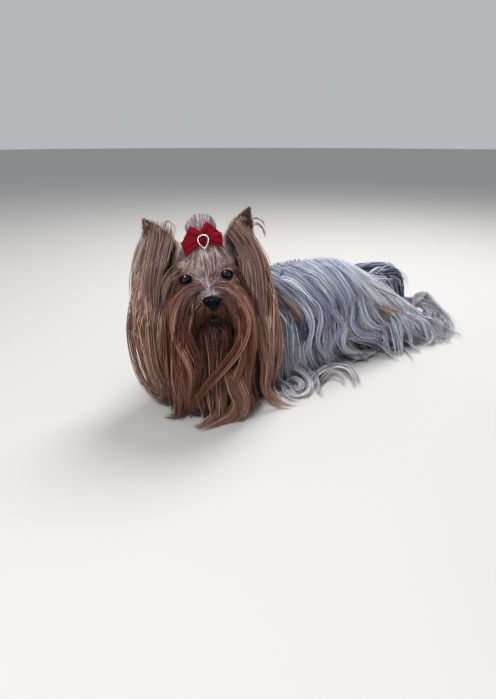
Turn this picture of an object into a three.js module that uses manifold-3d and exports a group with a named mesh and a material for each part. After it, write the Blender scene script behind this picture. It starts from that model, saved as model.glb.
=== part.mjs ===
// A yorkshire terrier in full show coat, lying on its belly with its hind legs stretched behind it
// and its head turned to its left. Millimetres, +Z up. The body faces -Y and its left side is +X.
// The origin is on the floor, under the middle of the whole model.

import * as THREE from 'three';
import { LoftGeometry } from 'three/addons/geometries/LoftGeometry.js';
import { mergeVertices } from 'three/addons/utils/BufferGeometryUtils.js';
import Module from 'manifold-3d';

const wasm = await Module();
wasm.setup();

// Driving dimensions of the body, measured from the point on the floor under the front of the spine
const bodyLength = 280; // breast to rump
const backHeight = 118; // top of the ribs above the floor
const coatOnBack = 11; // depth of the hair over the spine
const ribHalfWidth = 46;
const coatHalfWidth = 83; // half the spread of the hair on the floor, at the shoulders

// Fits
const gap = 0.45; // clearance between neighbouring pieces
const fineness = 0.12; // how far a facet may stray when small ones are merged
const floorDepth = 8; // how far a form runs below the floor before it is cut flat

// Driving dimensions of the head. Its frame stands between the eyes: +X forward, +Y left, +Z up
const eyesAt = new THREE.Vector3(76.5, -17, 144);
const headTurn = THREE.MathUtils.degToRad(67); // from straight ahead, towards the left
const headRoll = THREE.MathUtils.degToRad(5); // left side raised
const eyeSpacing = 37.5;
const eyeRadius = 8;
const skullHalfWidth = 32;
const muzzleLength = 28; // eyes to the tip of the nose
const noseHalfWidth = 8.2;
const earHeight = 43;
const earHalfWidth = 17;
const earThickness = 2.4;

// Frames
const forward = new THREE.Vector3(Math.sin(headTurn), -Math.cos(headTurn), 0);
const leftward = new THREE.Vector3(Math.cos(headTurn), Math.sin(headTurn), 0);
const rolledLeft = leftward.clone().multiplyScalar(Math.cos(headRoll)).setZ(Math.sin(headRoll));
const headUp = forward.clone().cross(rolledLeft);
const headFrame = new THREE.Matrix4().makeBasis(forward, rolledLeft, headUp).setPosition(eyesAt);
const bodyFrame = new THREE.Matrix4();

// A point given as steps forward and left of the eyes, and as a height above the floor
function hanging(ahead, left, height) {
  return [
    eyesAt.x + ahead * forward.x + left * leftward.x,
    eyesAt.y + ahead * forward.y + left * leftward.y,
    height,
  ];
}

// How full a section is, from 0 at either end of a limb to 1 between them
function fullness(t, blunt) {
  return Math.pow(1 - Math.pow(Math.abs(2 * t - 1), blunt), 1 / blunt);
}

// A limb or a fall of hair: oval sections along a smooth spine.
// Each station is [x, y, z, half width, half depth], and the width runs along across.
function limb(stations, { across, around = 10, along = 6, blunt = 5 }) {
  const spine = new THREE.CatmullRomCurve3(stations.map((s) => new THREE.Vector3(s[0], s[1], s[2])));
  const girth = new THREE.CatmullRomCurve3(stations.map((s) => new THREE.Vector3(s[3], s[4], 0)));
  const sections = [];
  for (let i = 0; i <= along; i++) {
    const t = 0.5 - 0.5 * Math.cos((Math.PI * (i + 0.25)) / (along + 0.5));
    const centre = spine.getPoint(t);
    const size = girth.getPoint(t).multiplyScalar(fullness(t, blunt));
    const way = spine.getTangent(t);
    const wide = across.clone().addScaledVector(way, -across.dot(way)).normalize();
    const deep = way.clone().cross(wide);
    const section = [];
    for (let j = 0; j < around; j++) {
      const angle = (2 * Math.PI * j) / around;
      section.push(
        centre
          .clone()
          .addScaledVector(wide, size.x * Math.cos(angle))
          .addScaledVector(deep, size.y * Math.sin(angle))
      );
    }
    sections.push(section);
  }
  return new LoftGeometry(sections, { capStart: true, capEnd: true });
}

function oval(centre, radii, around = 10, rows = 7) {
  return new THREE.SphereGeometry(1, around, rows).scale(...radii).translate(...centre);
}

// The same form on the other side of the body or head
function mirrored(geometry) {
  return new THREE.BufferGeometry().copy(geometry).scale(1, -1, 1);
}

const alongX = new THREE.Vector3(1, 0, 0);
const alongY = new THREE.Vector3(0, 1, 0);

// Skull, cheeks and the root of the muzzle
function headForm() {
  const cheek = oval([-16, 18, -12], [23, 16, 19], 8, 6);
  const skull = oval([-30, 0, 6], [35, skullHalfWidth, 28], 12, 8);
  return [skull, cheek, mirrored(cheek), ...muzzleForm()];
}

// Upper muzzle and lower jaw, running back into the cheeks
function muzzleForm() {
  const tip = muzzleLength - 3;
  return [
    limb([
      [-10, 0, -10, 15, 12],
      [2, 0, -12, 14.5, 12],
      [14, 0, -16, 14, 10.5],
      [tip, 0, -17, 11.5, 9],
    ], { across: alongY, blunt: 7, along: 5 }),
    limb([
      [-10, 0, -23, 12, 9],
      [4, 0, -25, 11.5, 7],
      [tip - 5, 0, -27, 8.5, 5.5],
    ], { across: alongY, along: 4, around: 8 }),
  ];
}

function noseForm() {
  return [oval([muzzleLength - 2, 0, -16], [5.5, noseHalfWidth, 6.4], 12, 7)];
}

function eyeForm(side) {
  return [oval([-6.5, (side * eyeSpacing) / 2, 0], [eyeRadius, eyeRadius, eyeRadius])];
}

// An upright ear: a curved triangle, hollow on the side that faces forward
function earForm(side) {
  const outline = new THREE.Shape();
  outline.moveTo(-earHalfWidth * 0.8, -8);
  outline.quadraticCurveTo(-earHalfWidth * 1.15, earHeight * 0.45, 0, earHeight);
  outline.quadraticCurveTo(earHalfWidth * 1.15, earHeight * 0.45, earHalfWidth * 0.8, -8);
  outline.closePath();
  const ear = new THREE.ExtrudeGeometry(outline, {
    depth: earThickness - 1,
    steps: 1,
    curveSegments: 5,
    bevelThickness: 0.5,
    bevelSize: 0.5,
    bevelSegments: 1,
  });
  const hollow = 0.014; // how fast the sides curl forward
  const place = ear.getAttribute('position');
  for (let i = 0; i < place.count; i++) {
    place.setZ(i, place.getZ(i) + hollow * place.getX(i) ** 2);
  }
  const up = new THREE.Vector3(-0.12, side * 0.46, 0.88).normalize();
  const facing = new THREE.Vector3(0.9, side * 0.34, 0.1);
  facing.addScaledVector(up, -facing.dot(up)).normalize();
  const frame = new THREE.Matrix4().makeBasis(up.clone().cross(facing), up, facing);
  return [ear.applyMatrix4(frame.setPosition(-34, side * 31, 16))];
}

// The hair gathered up off the forehead into a domed knot
function topknotForm() {
  return [
    oval([-21, 1, 42.5], [14, 15, 12.5], 12, 7),
    limb([[-20, 0, 24, 14, 14], [-21, 0, 33, 10, 10], [-21, 1, 44, 11, 11]],
      { across: alongY, along: 3, around: 8 }),
  ];
}

// The bow's own frame: +X to the dog's left, +Y up along the bow, +Z out of it
const bowUp = new THREE.Vector3(-0.32, -0.06, 0.94).normalize();
const bowOut = new THREE.Vector3(0.94, 0.02, 0.34);
bowOut.addScaledVector(bowUp, -bowOut.dot(bowUp)).normalize();
const bowFrame = new THREE.Matrix4()
  .makeBasis(bowUp.clone().cross(bowOut), bowUp, bowOut)
  .setPosition(-1, 0.3, 35.5);

// One velvet loop: pinched at the knot and puffed towards its outer edge, which runs between
// two corners [x, y] in the plane of the bow
function loopForm(corner, otherCorner) {
  const from = new THREE.Vector2(...corner);
  const to = new THREE.Vector2(...otherCorner);
  const middle = from.clone().add(to).multiplyScalar(0.5);
  const edge = from.clone().sub(to);
  const halfEdge = edge.length() / 2;
  const stations = [
    [middle.x * 0.1, middle.y * 0.1, 0, 2.4, 2],
    [middle.x * 0.55, middle.y * 0.55, 1, halfEdge * 0.85, 3.6],
    [middle.x, middle.y, 0, halfEdge, 2.8],
  ];
  const across = new THREE.Vector3(edge.x, edge.y, 0);
  return [limb(stations, { across, along: 4, around: 8, blunt: 7 }).applyMatrix4(bowFrame)];
}

// A pear-shaped outline, point down
function dropOutline(size) {
  const outline = new THREE.Shape();
  outline.moveTo(0, -size * 1.4);
  outline.quadraticCurveTo(size * 0.95, -size * 0.5, size, size * 0.15);
  outline.absarc(0, size * 0.15, size, 0, Math.PI, false);
  outline.quadraticCurveTo(-size * 0.95, -size * 0.5, 0, -size * 1.4);
  return outline;
}

function broochRimForm() {
  const rim = dropOutline(5.9);
  rim.holes.push(new THREE.Path(dropOutline(4.5).getPoints(3).reverse()));
  const ring = new THREE.ExtrudeGeometry(rim, { depth: 2, bevelEnabled: false, curveSegments: 3 });
  return [ring.translate(0, 0, 4.4).applyMatrix4(bowFrame)];
}

function broochGemForm() {
  const gem = new THREE.ExtrudeGeometry(dropOutline(3.5), {
    depth: 1.2,
    curveSegments: 3,
    bevelThickness: 0.7,
    bevelSize: 0.6,
    bevelSegments: 1,
  });
  return [gem.translate(0, 0, 5.2).applyMatrix4(bowFrame)];
}

function bowKnotForm() {
  return [oval([0, 0, 0], [4.6, 5.4, 4], 8, 6).applyMatrix4(bowFrame)];
}

// Long hair hanging from one ear to the floor; at the left a lock lies out forward.
// Each step of a path is [left of the nose, height, half width].
function earFallForm(side) {
  const leftPath = [
    [40, 184, 11],
    [45, 168, 16],
    [49, 128, 20],
    [55, 84, 21],
    [59, 40, 20],
    [59, -floorDepth, 17],
  ];
  const rightPath = [
    [-41, 178, 12],
    [-46, 163, 17],
    [-51, 125, 21],
    [-53, 80, 20],
    [-49, 38, 20],
    [-42, -floorDepth, 18],
  ];
  const path = side > 0 ? leftPath : rightPath;
  const fall = limb(
    path.map(([left, height, halfWidth]) => [...hanging(-36, left, height), halfWidth, halfWidth]),
    { across: leftward, along: 7, blunt: 6 }
  );
  if (side < 0) return [fall];
  const sweep = limb([
    [...hanging(-20, 62, 40), 10, 10],
    [...hanging(-6, 70, 16), 11, 9],
    [...hanging(8, 84, 5), 9, 6],
    [...hanging(12, 98, 1), 5, 3],
  ], { across: leftward, around: 8 });
  return [fall, sweep];
}

// The hair of the upper lip: out over the cheek, then down and inward to the floor.
// It hangs further out on the left. Each step is [ahead, left on each side, height, half width].
function moustacheForm(side) {
  const steps = [
    [19, 8, -8, 132, 7],
    [16, 21, -17, 121, 9],
    [12, 29, -22, 98, 11],
    [14, 29, -23, 60, 13],
    [18, 26, -18, 22, 12],
    [23, 23, -12, -floorDepth, 11],
  ];
  const path = steps.map(([ahead, left, right, ...rest]) => [ahead, side > 0 ? left : right, ...rest]);
  return [
    limb(path.map(([ahead, left, height, half]) => [...hanging(ahead, left, height), half, half]),
      { across: leftward, along: 7, blunt: 6 }),
  ];
}

// The chin hair, which ends in a tongue laid forward on the floor
function beardForm() {
  return [
    limb([
      [...hanging(13, 2, 117), 9, 7],
      [...hanging(8, 2, 92), 15, 9],
      [...hanging(9, 3, 55), 17, 11],
      [...hanging(16, 4, 18), 18, 12],
      [...hanging(22, 5, -floorDepth), 18, 12],
    ], { across: leftward }),
    limb([
      [...hanging(14, 3, 9), 17, 9],
      [...hanging(26, 3, 4), 15, 7],
      [...hanging(37, -1, 0), 10, 4],
    ], { across: leftward, along: 4, around: 8 }),
  ];
}

// The hair of the throat and breast, down to the floor
function chestCoatForm() {
  return [
    limb([
      [...hanging(-26, 0, 124), 30, 22],
      [...hanging(-24, 0, 95), 38, 29],
      [...hanging(-18, 2, 50), 45, 34],
      [...hanging(-12, 5, 15), 52, 36],
      [...hanging(-9, 7, -floorDepth), 54, 36],
    ], { across: leftward, along: 5, blunt: 6 }),
  ];
}

function neckForm() {
  const poll = new THREE.Vector3(-44, 0, -8).applyMatrix4(headFrame);
  return [
    limb([
      [poll.x, poll.y, poll.z, 26, 26],
      [18, 20, 112, 30, 29],
      [2, 48, 84, 37, 34],
      [0, 70, 70, 38, 36],
    ], { across: alongX, along: 5 }),
  ];
}

// The hair of the crown and nape, falling back over the neck to the withers
function maneForm() {
  const crown = new THREE.Vector3(-52, 0, 10).applyMatrix4(headFrame);
  return [
    limb([
      [crown.x + 4, crown.y - 4, crown.z + 8, 24, 22],
      [22, 14, 134, 40, 32],
      [6, 32, 112, 47, 38],
      [0, 62, 88, 50, 40],
      [0, 90, 80, 46, 40],
    ], { across: alongX, along: 4 }),
  ];
}

// Ribs, loin and croup, from [y, top, half width]
function trunkForm() {
  const profile = [
    [2, backHeight - 42, 26],
    [35, backHeight - 10, 39],
    [80, backHeight - 3, ribHalfWidth],
    [125, backHeight, ribHalfWidth],
    [170, backHeight, ribHalfWidth - 3],
    [210, backHeight - 8, ribHalfWidth - 4],
    [245, backHeight - 24, ribHalfWidth - 7],
    [bodyLength, backHeight - 46, ribHalfWidth - 20],
  ];
  const stations = profile.map(([y, top, halfWidth]) => {
    const halfDepth = (top + floorDepth) / 2;
    return [0, y, top - halfDepth, halfWidth, halfDepth];
  });
  return [limb(stations, { across: alongX, along: 7, blunt: 4 })];
}

// Wrist and toes
function forePawPoints(side) {
  return side > 0 ? [[40, 2, 9], [46, -22, 7]] : [[-26, -8, 9], [-22, -36, 7]];
}

// Upper arm down to the elbow, and forearm laid on the floor
function foreLegForm(side) {
  const [wrist] = forePawPoints(side);
  const elbow = [side * 36, 52, 18];
  return [
    limb([[side * 30, 32, 58, 15, 16], [...elbow, 13, 15]], { across: alongX, along: 4, around: 8 }),
    limb([[...elbow, 12, 13], [...wrist, 10, 12]], { across: alongX, along: 4, around: 8 }),
  ];
}

function forePawForm(side) {
  const [wrist, toes] = forePawPoints(side);
  return [
    limb([[wrist[0], wrist[1] + 4, wrist[2], 10, 10], [...toes, 12, 10]],
      { across: alongX, along: 4, around: 8 }),
  ];
}

// Thigh and gaskin, laid out behind the hip
function hindLegForm(side) {
  return [
    limb([
      [side * 20, 228, 46, 20, 28],
      [side * 32, 262, 34, 18, 22],
      [side * 38, 296, 24, 17, 19],
      [side * 38, 328, 17, 15, 17],
    ], { across: alongX, along: 5, around: 8 }),
  ];
}

// Hock and foot, wrapped in long hair that spreads over the floor
function hindFootForm(side) {
  return [
    limb([
      [side * 38, 322, 19, 17, 24],
      [side * 38, 348, 21, 22, 29],
      [side * 38, 376, 16, 21, 25],
      [side * 42, 401, 5, 14, 11],
    ], { across: alongX }),
  ];
}

function tailForm() {
  return [
    limb([
      [0, 258, 78, 11, 12],
      [-9, 286, 86, 17, 14],
      [-18, 314, 82, 21, 16],
      [-24, 336, 60, 20, 17],
      [-26, 348, 32, 16, 14],
      [-26, 352, 12, 9, 9],
    ], { across: alongX, along: 7 }),
  ];
}

// The body coat, parted along the spine and hanging to the floor on both sides.
// Each row is [y, height of the parting, half width at mid height, half width on the floor].
function bodyCoatForm() {
  const crest = backHeight + coatOnBack;
  const rows = [
    [-40, crest - 80, 26, coatHalfWidth - 44],
    [-20, crest - 52, 38, coatHalfWidth - 28],
    [5, crest - 28, 49, coatHalfWidth - 13],
    [35, crest - 14, 55, coatHalfWidth - 3],
    [65, crest - 7, 58, coatHalfWidth + 2],
    [98, crest - 4, 59, coatHalfWidth + 6],
    [135, crest - 2, 58, coatHalfWidth + 6],
    [170, crest - 1, 57, coatHalfWidth],
    [200, crest - 7, 55, coatHalfWidth - 9],
    [232, crest - 20, 53, coatHalfWidth - 16],
    [262, crest - 38, 51, coatHalfWidth - 22],
    [292, crest - 58, 50, coatHalfWidth - 25],
    [320, crest - 78, 47, coatHalfWidth - 27],
    [342, crest - 96, 42, coatHalfWidth - 33],
  ];
  const outline = new THREE.CatmullRomCurve3(rows.map((r) => new THREE.Vector3(r[1], r[2], r[3])));
  const march = new THREE.CatmullRomCurve3(rows.map((r) => new THREE.Vector3(r[0], 0, 0)));
  const slices = 12;
  const sideSteps = 4;
  const sections = [];
  for (let i = 0; i <= slices; i++) {
    const t = 0.5 - 0.5 * Math.cos((Math.PI * (i + 0.3)) / (slices + 0.6));
    const full = fullness(t, 9);
    const { x: crestHere, y: middle, z: hem } = outline.getPoint(t).multiplyScalar(full);
    const y = march.getPoint(t).x;
    const side = [];
    for (let k = 0; k < sideSteps; k++) {
      const turn = (Math.PI / 2) * (k / (sideSteps - 1));
      side.push([middle * Math.sin(turn), crestHere * (0.42 + 0.58 * Math.cos(turn))]);
    }
    const scallop = 1 + 0.03 * Math.sin(i * 2.1); // locks along the hem
    side.push([((middle + hem) / 2) * 0.99, crestHere * 0.2]);
    side.push([hem * scallop, 2], [hem * scallop * 0.98, -floorDepth]);
    const ring = side.map(([x, z]) => new THREE.Vector3(x, y, z));
    const other = side.slice(1).reverse().map(([x, z]) => new THREE.Vector3(-x, y, z));
    sections.push([...ring, ...other]);
  }
  return [new LoftGeometry(sections, { capStart: true, capEnd: true })];
}

// Solids: a form is closed, grown by the clearance where it cuts its neighbours, and cut by them

function closed(geometry, grow = 0) {
  const bare = new THREE.BufferGeometry().copy(geometry);
  bare.deleteAttribute('uv');
  bare.deleteAttribute('normal');
  const merged = mergeVertices(bare, 1e-4);
  const place = merged.getAttribute('position');
  const source = merged.index.array;
  const triangles = [];
  for (let i = 0; i < source.length; i += 3) {
    const [a, b, c] = [source[i], source[i + 1], source[i + 2]];
    if (a !== b && b !== c && c !== a) triangles.push(a, b, c);
  }
  if (signedVolume(place, triangles) < 0) triangles.reverse();
  merged.setIndex(triangles);
  if (grow > 0) {
    merged.computeVertexNormals();
    const normal = merged.getAttribute('normal');
    for (let i = 0; i < place.count; i++) {
      place.setXYZ(
        i,
        place.getX(i) + grow * normal.getX(i),
        place.getY(i) + grow * normal.getY(i),
        place.getZ(i) + grow * normal.getZ(i)
      );
    }
  }
  return new wasm.Manifold(
    new wasm.Mesh({
      numProp: 3,
      vertProperties: new Float32Array(place.array),
      triVerts: new Uint32Array(triangles),
    })
  );
}

function signedVolume(place, triangles) {
  const [a, b, c] = [new THREE.Vector3(), new THREE.Vector3(), new THREE.Vector3()];
  let six = 0;
  for (let i = 0; i < triangles.length; i += 3) {
    a.fromBufferAttribute(place, triangles[i]);
    b.fromBufferAttribute(place, triangles[i + 1]);
    c.fromBufferAttribute(place, triangles[i + 2]);
    six += a.dot(b.cross(c));
  }
  return six;
}

function joined(forms, grow = 0) {
  return forms.map((form) => closed(form, grow)).reduce((all, next) => all.add(next));
}

function block(low, high) {
  const size = high.map((value, i) => value - low[i]);
  const middle = high.map((value, i) => (value + low[i]) / 2);
  return new THREE.BoxGeometry(...size).translate(...middle);
}

const reach = 400;
const aboveFloor = closed(block([-reach, -reach, 0], [reach, reach, reach]));

function largest(solid) {
  return solid.decompose().reduce((best, next) => (next.volume() > best.volume() ? next : best));
}

// The head and the muzzle part on a plane just ahead of the eyes
const muzzleRoot = 5;
const behindMuzzle = [[-reach, -reach, -reach], [muzzleRoot - gap, reach, reach]];
const aheadOfHead = [[muzzleRoot, -reach, -reach], [reach, reach, reach]];

// The finishes
const finish = {
  goldHair: new THREE.MeshStandardMaterial({ color: 0x9a6444, roughness: 0.55 }),
  tanSkin: new THREE.MeshStandardMaterial({ color: 0xa98468, roughness: 0.8 }),
  paleHair: new THREE.MeshStandardMaterial({ color: 0xb8a79c, roughness: 0.55 }),
  silverHair: new THREE.MeshStandardMaterial({ color: 0xa5a4ab, roughness: 0.5 }),
  darkHair: new THREE.MeshStandardMaterial({ color: 0x3a3c47, roughness: 0.5 }),
  noseLeather: new THREE.MeshStandardMaterial({ color: 0x14161b, roughness: 0.35 }),
  eye: new THREE.MeshStandardMaterial({ color: 0x120c09, roughness: 0.05 }),
  velvet: new THREE.MeshStandardMaterial({ color: 0xb0041c, roughness: 0.9 }),
  pearl: new THREE.MeshStandardMaterial({ color: 0xe6d3bd, roughness: 0.2, metalness: 0.6 }),
  gem: new THREE.MeshStandardMaterial({ color: 0x5e0414, roughness: 0.08 }),
};

// Every piece in the order in which they claim their space: each is cut by those before it.
// A piece is [name, forms, finish, frame, the block it is kept within].
const pieces = [
  ['eye_left', eyeForm(1), finish.eye, headFrame],
  ['eye_right', eyeForm(-1), finish.eye, headFrame],
  ['nose', noseForm(), finish.noseLeather, headFrame],
  ['brooch_gem', broochGemForm(), finish.gem, headFrame],
  ['brooch_rim', broochRimForm(), finish.pearl, headFrame],
  ['bow_knot', bowKnotForm(), finish.velvet, headFrame],
  ['bow_loop_upper_left', loopForm([7.4, 12.5], [13.4, 3]), finish.velvet, headFrame],
  ['bow_loop_upper_right', loopForm([-8.8, 13], [-16, 4]), finish.velvet, headFrame],
  ['bow_loop_lower_left', loopForm([17.2, 1], [15.8, -10.6]), finish.velvet, headFrame],
  ['bow_loop_lower_right', loopForm([-18, -12], [-9.6, -10]), finish.velvet, headFrame],
  ['muzzle', muzzleForm(), finish.goldHair, headFrame, aheadOfHead],
  ['head', headForm(), finish.goldHair, headFrame, behindMuzzle],
  ['ear_left', earForm(1), finish.tanSkin, headFrame],
  ['ear_right', earForm(-1), finish.tanSkin, headFrame],
  ['topknot', topknotForm(), finish.paleHair, headFrame],
  ['trunk', trunkForm(), finish.silverHair, bodyFrame],
  ['neck', neckForm(), finish.silverHair, bodyFrame],
  ['fore_leg_left', foreLegForm(1), finish.tanSkin, bodyFrame],
  ['fore_leg_right', foreLegForm(-1), finish.tanSkin, bodyFrame],
  ['fore_paw_left', forePawForm(1), finish.tanSkin, bodyFrame],
  ['fore_paw_right', forePawForm(-1), finish.tanSkin, bodyFrame],
  ['hind_leg_left', hindLegForm(1), finish.paleHair, bodyFrame],
  ['hind_leg_right', hindLegForm(-1), finish.paleHair, bodyFrame],
  ['hind_foot_left', hindFootForm(1), finish.paleHair, bodyFrame],
  ['hind_foot_right', hindFootForm(-1), finish.paleHair, bodyFrame],
  ['tail', tailForm(), finish.darkHair, bodyFrame],
  ['moustache_left', moustacheForm(1), finish.goldHair, bodyFrame],
  ['moustache_right', moustacheForm(-1), finish.goldHair, bodyFrame],
  ['ear_fall_left', earFallForm(1), finish.goldHair, bodyFrame],
  ['ear_fall_right', earFallForm(-1), finish.goldHair, bodyFrame],
  ['beard', beardForm(), finish.goldHair, bodyFrame],
  ['chest_coat', chestCoatForm(), finish.goldHair, bodyFrame],
  ['mane', maneForm(), finish.silverHair, bodyFrame],
];

const parted = gap / 2; // each side coat stops this far from the parting
const sideCoats = [
  ['body_coat_left', block([parted, -reach, 0], [reach, reach, reach])],
  ['body_coat_right', block([-reach, -reach, 0], [-parted, reach, reach])],
];

const dog = new THREE.Group();
const head = new THREE.Group();
head.applyMatrix4(headFrame);
dog.add(head);

// Adds a solid as a mesh, in the head's own frame where it belongs to the head
function addPiece(name, solid, material, frame) {
  const { vertProperties, triVerts } = largest(solid.simplify(fineness)).getMesh();
  const geometry = new THREE.BufferGeometry();
  geometry.setAttribute('position', new THREE.BufferAttribute(new Float32Array(vertProperties), 3));
  geometry.setIndex([...triVerts]);
  geometry.applyMatrix4(frame.clone().invert());
  geometry.computeVertexNormals();
  const mesh = new THREE.Mesh(geometry, material);
  mesh.name = name;
  (frame === headFrame ? head : dog).add(mesh);
}

const everywhere = [[-reach, -reach, -reach], [reach, reach, reach]];
let claimed = wasm.Manifold.union([]);
for (const [name, forms, material, frame, within = everywhere] of pieces) {
  const placed = forms.map((form) => form.applyMatrix4(frame));
  const kept = closed(block(...within).applyMatrix4(frame));
  addPiece(name, joined(placed).intersect(kept).intersect(aboveFloor).subtract(claimed), material, frame);
  claimed = claimed.add(joined(placed, gap).simplify(fineness / 2).intersect(kept));
}
const bodyCoat = joined(bodyCoatForm()).subtract(claimed);
for (const [name, half] of sideCoats) {
  addPiece(name, bodyCoat.intersect(closed(half)), finish.silverHair, bodyFrame);
}

// The origin goes to the floor, under the middle of the whole
dog.updateMatrixWorld(true);
const box = new THREE.Box3().setFromObject(dog, true);
const centre = box.getCenter(new THREE.Vector3());
const root = new THREE.Group();
dog.position.set(-centre.x, -centre.y, -box.min.z);
root.add(dog);

export default root;
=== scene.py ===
import itertools
import math

import bpy
import numpy as np
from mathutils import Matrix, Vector


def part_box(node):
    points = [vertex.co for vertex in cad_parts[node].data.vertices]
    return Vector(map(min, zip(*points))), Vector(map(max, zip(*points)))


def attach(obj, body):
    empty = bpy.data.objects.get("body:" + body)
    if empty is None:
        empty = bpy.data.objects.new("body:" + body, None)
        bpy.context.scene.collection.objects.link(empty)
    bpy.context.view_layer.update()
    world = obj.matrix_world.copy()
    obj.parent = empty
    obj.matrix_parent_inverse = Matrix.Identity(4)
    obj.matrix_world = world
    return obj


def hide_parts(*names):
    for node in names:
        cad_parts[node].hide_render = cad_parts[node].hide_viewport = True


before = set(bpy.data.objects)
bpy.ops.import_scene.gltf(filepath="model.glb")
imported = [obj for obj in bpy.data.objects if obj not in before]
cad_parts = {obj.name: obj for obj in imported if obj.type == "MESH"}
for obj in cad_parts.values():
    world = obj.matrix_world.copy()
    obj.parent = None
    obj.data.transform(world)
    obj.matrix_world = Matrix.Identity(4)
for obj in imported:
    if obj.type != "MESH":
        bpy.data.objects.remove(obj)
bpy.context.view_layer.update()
metre = 0.001  # one of the dog's own millimetres
coatShare = 1.0  # how much of the coat is grown
rng = np.random.default_rng(20)

# The dog's own frame is in millimetres: its spine starts over x 0, y 0, it faces -Y and its left side
# is +X. The head's frame stands between the eyes: X ahead, Y to the dog's left, Z up.
headShape = {"eyesOverSpineStart": (76.5, -17.0, 144.0), "eyesBehindFrame": 6.5, "eyeRadius": 8.0}


def middleOf(node):
    low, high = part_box(node)
    return np.array((low + high) / 2) / metre


leftEye, rightEye = middleOf("eye_left"), middleOf("eye_right")
eyeGap = float(np.linalg.norm(leftEye - rightEye))
headLeft = (leftEye - rightEye) / eyeGap
headAhead = np.cross(headLeft, (0.0, 0.0, 1.0))
headAhead = headAhead / np.linalg.norm(headAhead)
headUp = np.cross(headAhead, headLeft)
headAxes = np.stack([headAhead, headLeft, headUp])
levelLeft = np.cross((0.0, 0.0, 1.0), headAhead)
eyesAt = np.array(headShape["eyesOverSpineStart"])
rowShift = (leftEye + rightEye) / 2 + headShape["eyesBehindFrame"] * headAhead - eyesAt
rowShift[2] = 0.0


def fromHead(points):
    return np.asarray(points, float) @ headAxes + eyesAt


def toHead(points):
    return (points - eyesAt) @ headAxes.T


def hanging(ahead, left, height):  # ahead and left of the eyes, and a height over the floor
    ahead, left, height = np.broadcast_arrays(ahead, left, height)
    flat = eyesAt[:2] + ahead[..., None] * headAhead[:2] + left[..., None] * levelLeft[:2]
    return np.concatenate([flat, height[..., None]], -1).astype(float)


# The photo's view, in the dog's frame
view = {"at": (516.66, -246.94, 270.0), "down": 21.8, "turned": 58.0, "focal": 548.0, "photoSize": (496, 699)}
turned, down = math.radians(view["turned"]), math.radians(view["down"])
lookAlong = np.array([-math.sin(turned) * math.cos(down), math.cos(turned) * math.cos(down), -math.sin(down)])
lookRight = np.array([math.cos(turned), math.sin(turned), 0.0])
lookUp = np.cross(lookRight, lookAlong)


def rayTo(x, y):
    wide, high = view["photoSize"]
    return lookAlong * view["focal"] + lookRight * (x - wide / 2) - lookUp * (y - high / 2)


def seenAt(x, y, height):  # what the photo shows at a pixel, at that height over the floor
    ray = rayTo(x, y)
    return np.array(view["at"]) + ray * (height - view["at"][2]) / ray[2]


def seenAhead(x, y, ahead):  # the same, at that distance ahead of the eyes
    ray = rayTo(x, y)
    away = (eyesAt - np.array(view["at"])) @ headAhead + ahead
    return np.array(view["at"]) + ray * away / (ray @ headAhead)


def pixelOf(points):
    away = points - np.array(view["at"])
    deep = away @ lookAlong
    wide, high = view["photoSize"]
    x = wide / 2 + view["focal"] * (away @ lookRight) / deep
    y = high / 2 - view["focal"] * (away @ lookUp) / deep
    return columns(x, y)


def unit(v):
    return v / np.maximum(np.linalg.norm(v, axis=-1, keepdims=True), 1e-9)


def ease(t):
    t = np.clip(t, 0, 1)
    return t * t * (3 - 2 * t)


def mixed(first, second, share):
    share = np.asarray(share)[..., None]
    return np.asarray(first) * (1 - share) + np.asarray(second) * share


def columns(*parts):  # single values are repeated beside the arrays
    return np.stack(np.broadcast_arrays(*parts), -1)


def between(at, last):  # the whole step under each place on a row, and the part of a step beyond it
    low = np.minimum(at.astype(int), last - 1)
    return low, at - low


def runAlong(paths):  # how far along its path each point lies
    run = np.linalg.norm(np.diff(paths, axis=1), axis=-1).cumsum(1)
    return np.concatenate([np.zeros((len(run), 1)), run], 1)


def swell(points, length, seed):  # a smooth random value from about -1 to 1
    source = np.random.default_rng(seed)
    ways = unit(source.normal(size=(6, points.shape[-1])))
    ways = ways * (2 * math.pi / length) * source.uniform(0.6, 1.5, (6, 1))
    return np.sin(points @ ways.T + source.uniform(0, 6.28, 6)).sum(-1) / 2.6


def through(points, count):  # smooth curves through k points each, with count even steps
    points = np.asarray(points, float)
    number, k, _ = points.shape
    ends = [2 * points[:, :1] - points[:, 1:2], points, 2 * points[:, -1:] - points[:, -2:-1]]
    knots = np.concatenate(ends, 1)
    at, u = between(np.linspace(0, k - 1, 10 * k), k - 1)
    u = u[None, :, None]
    a, b, c, d = (knots[:, at + i] for i in range(4))
    fine = 0.5 * (2 * b + (c - a) * u + (2 * a - 5 * b + 4 * c - d) * u**2 + (3 * b - a - 3 * c + d) * u**3)
    run = runAlong(fine)
    even = np.linspace(0, 1, count)
    out = np.empty((number, count, 3))
    for i in range(number):
        for axis in range(3):
            out[i, :, axis] = np.interp(even * run[i, -1], run[i], fine[i, :, axis])
    return out


# Shader wiring


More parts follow.
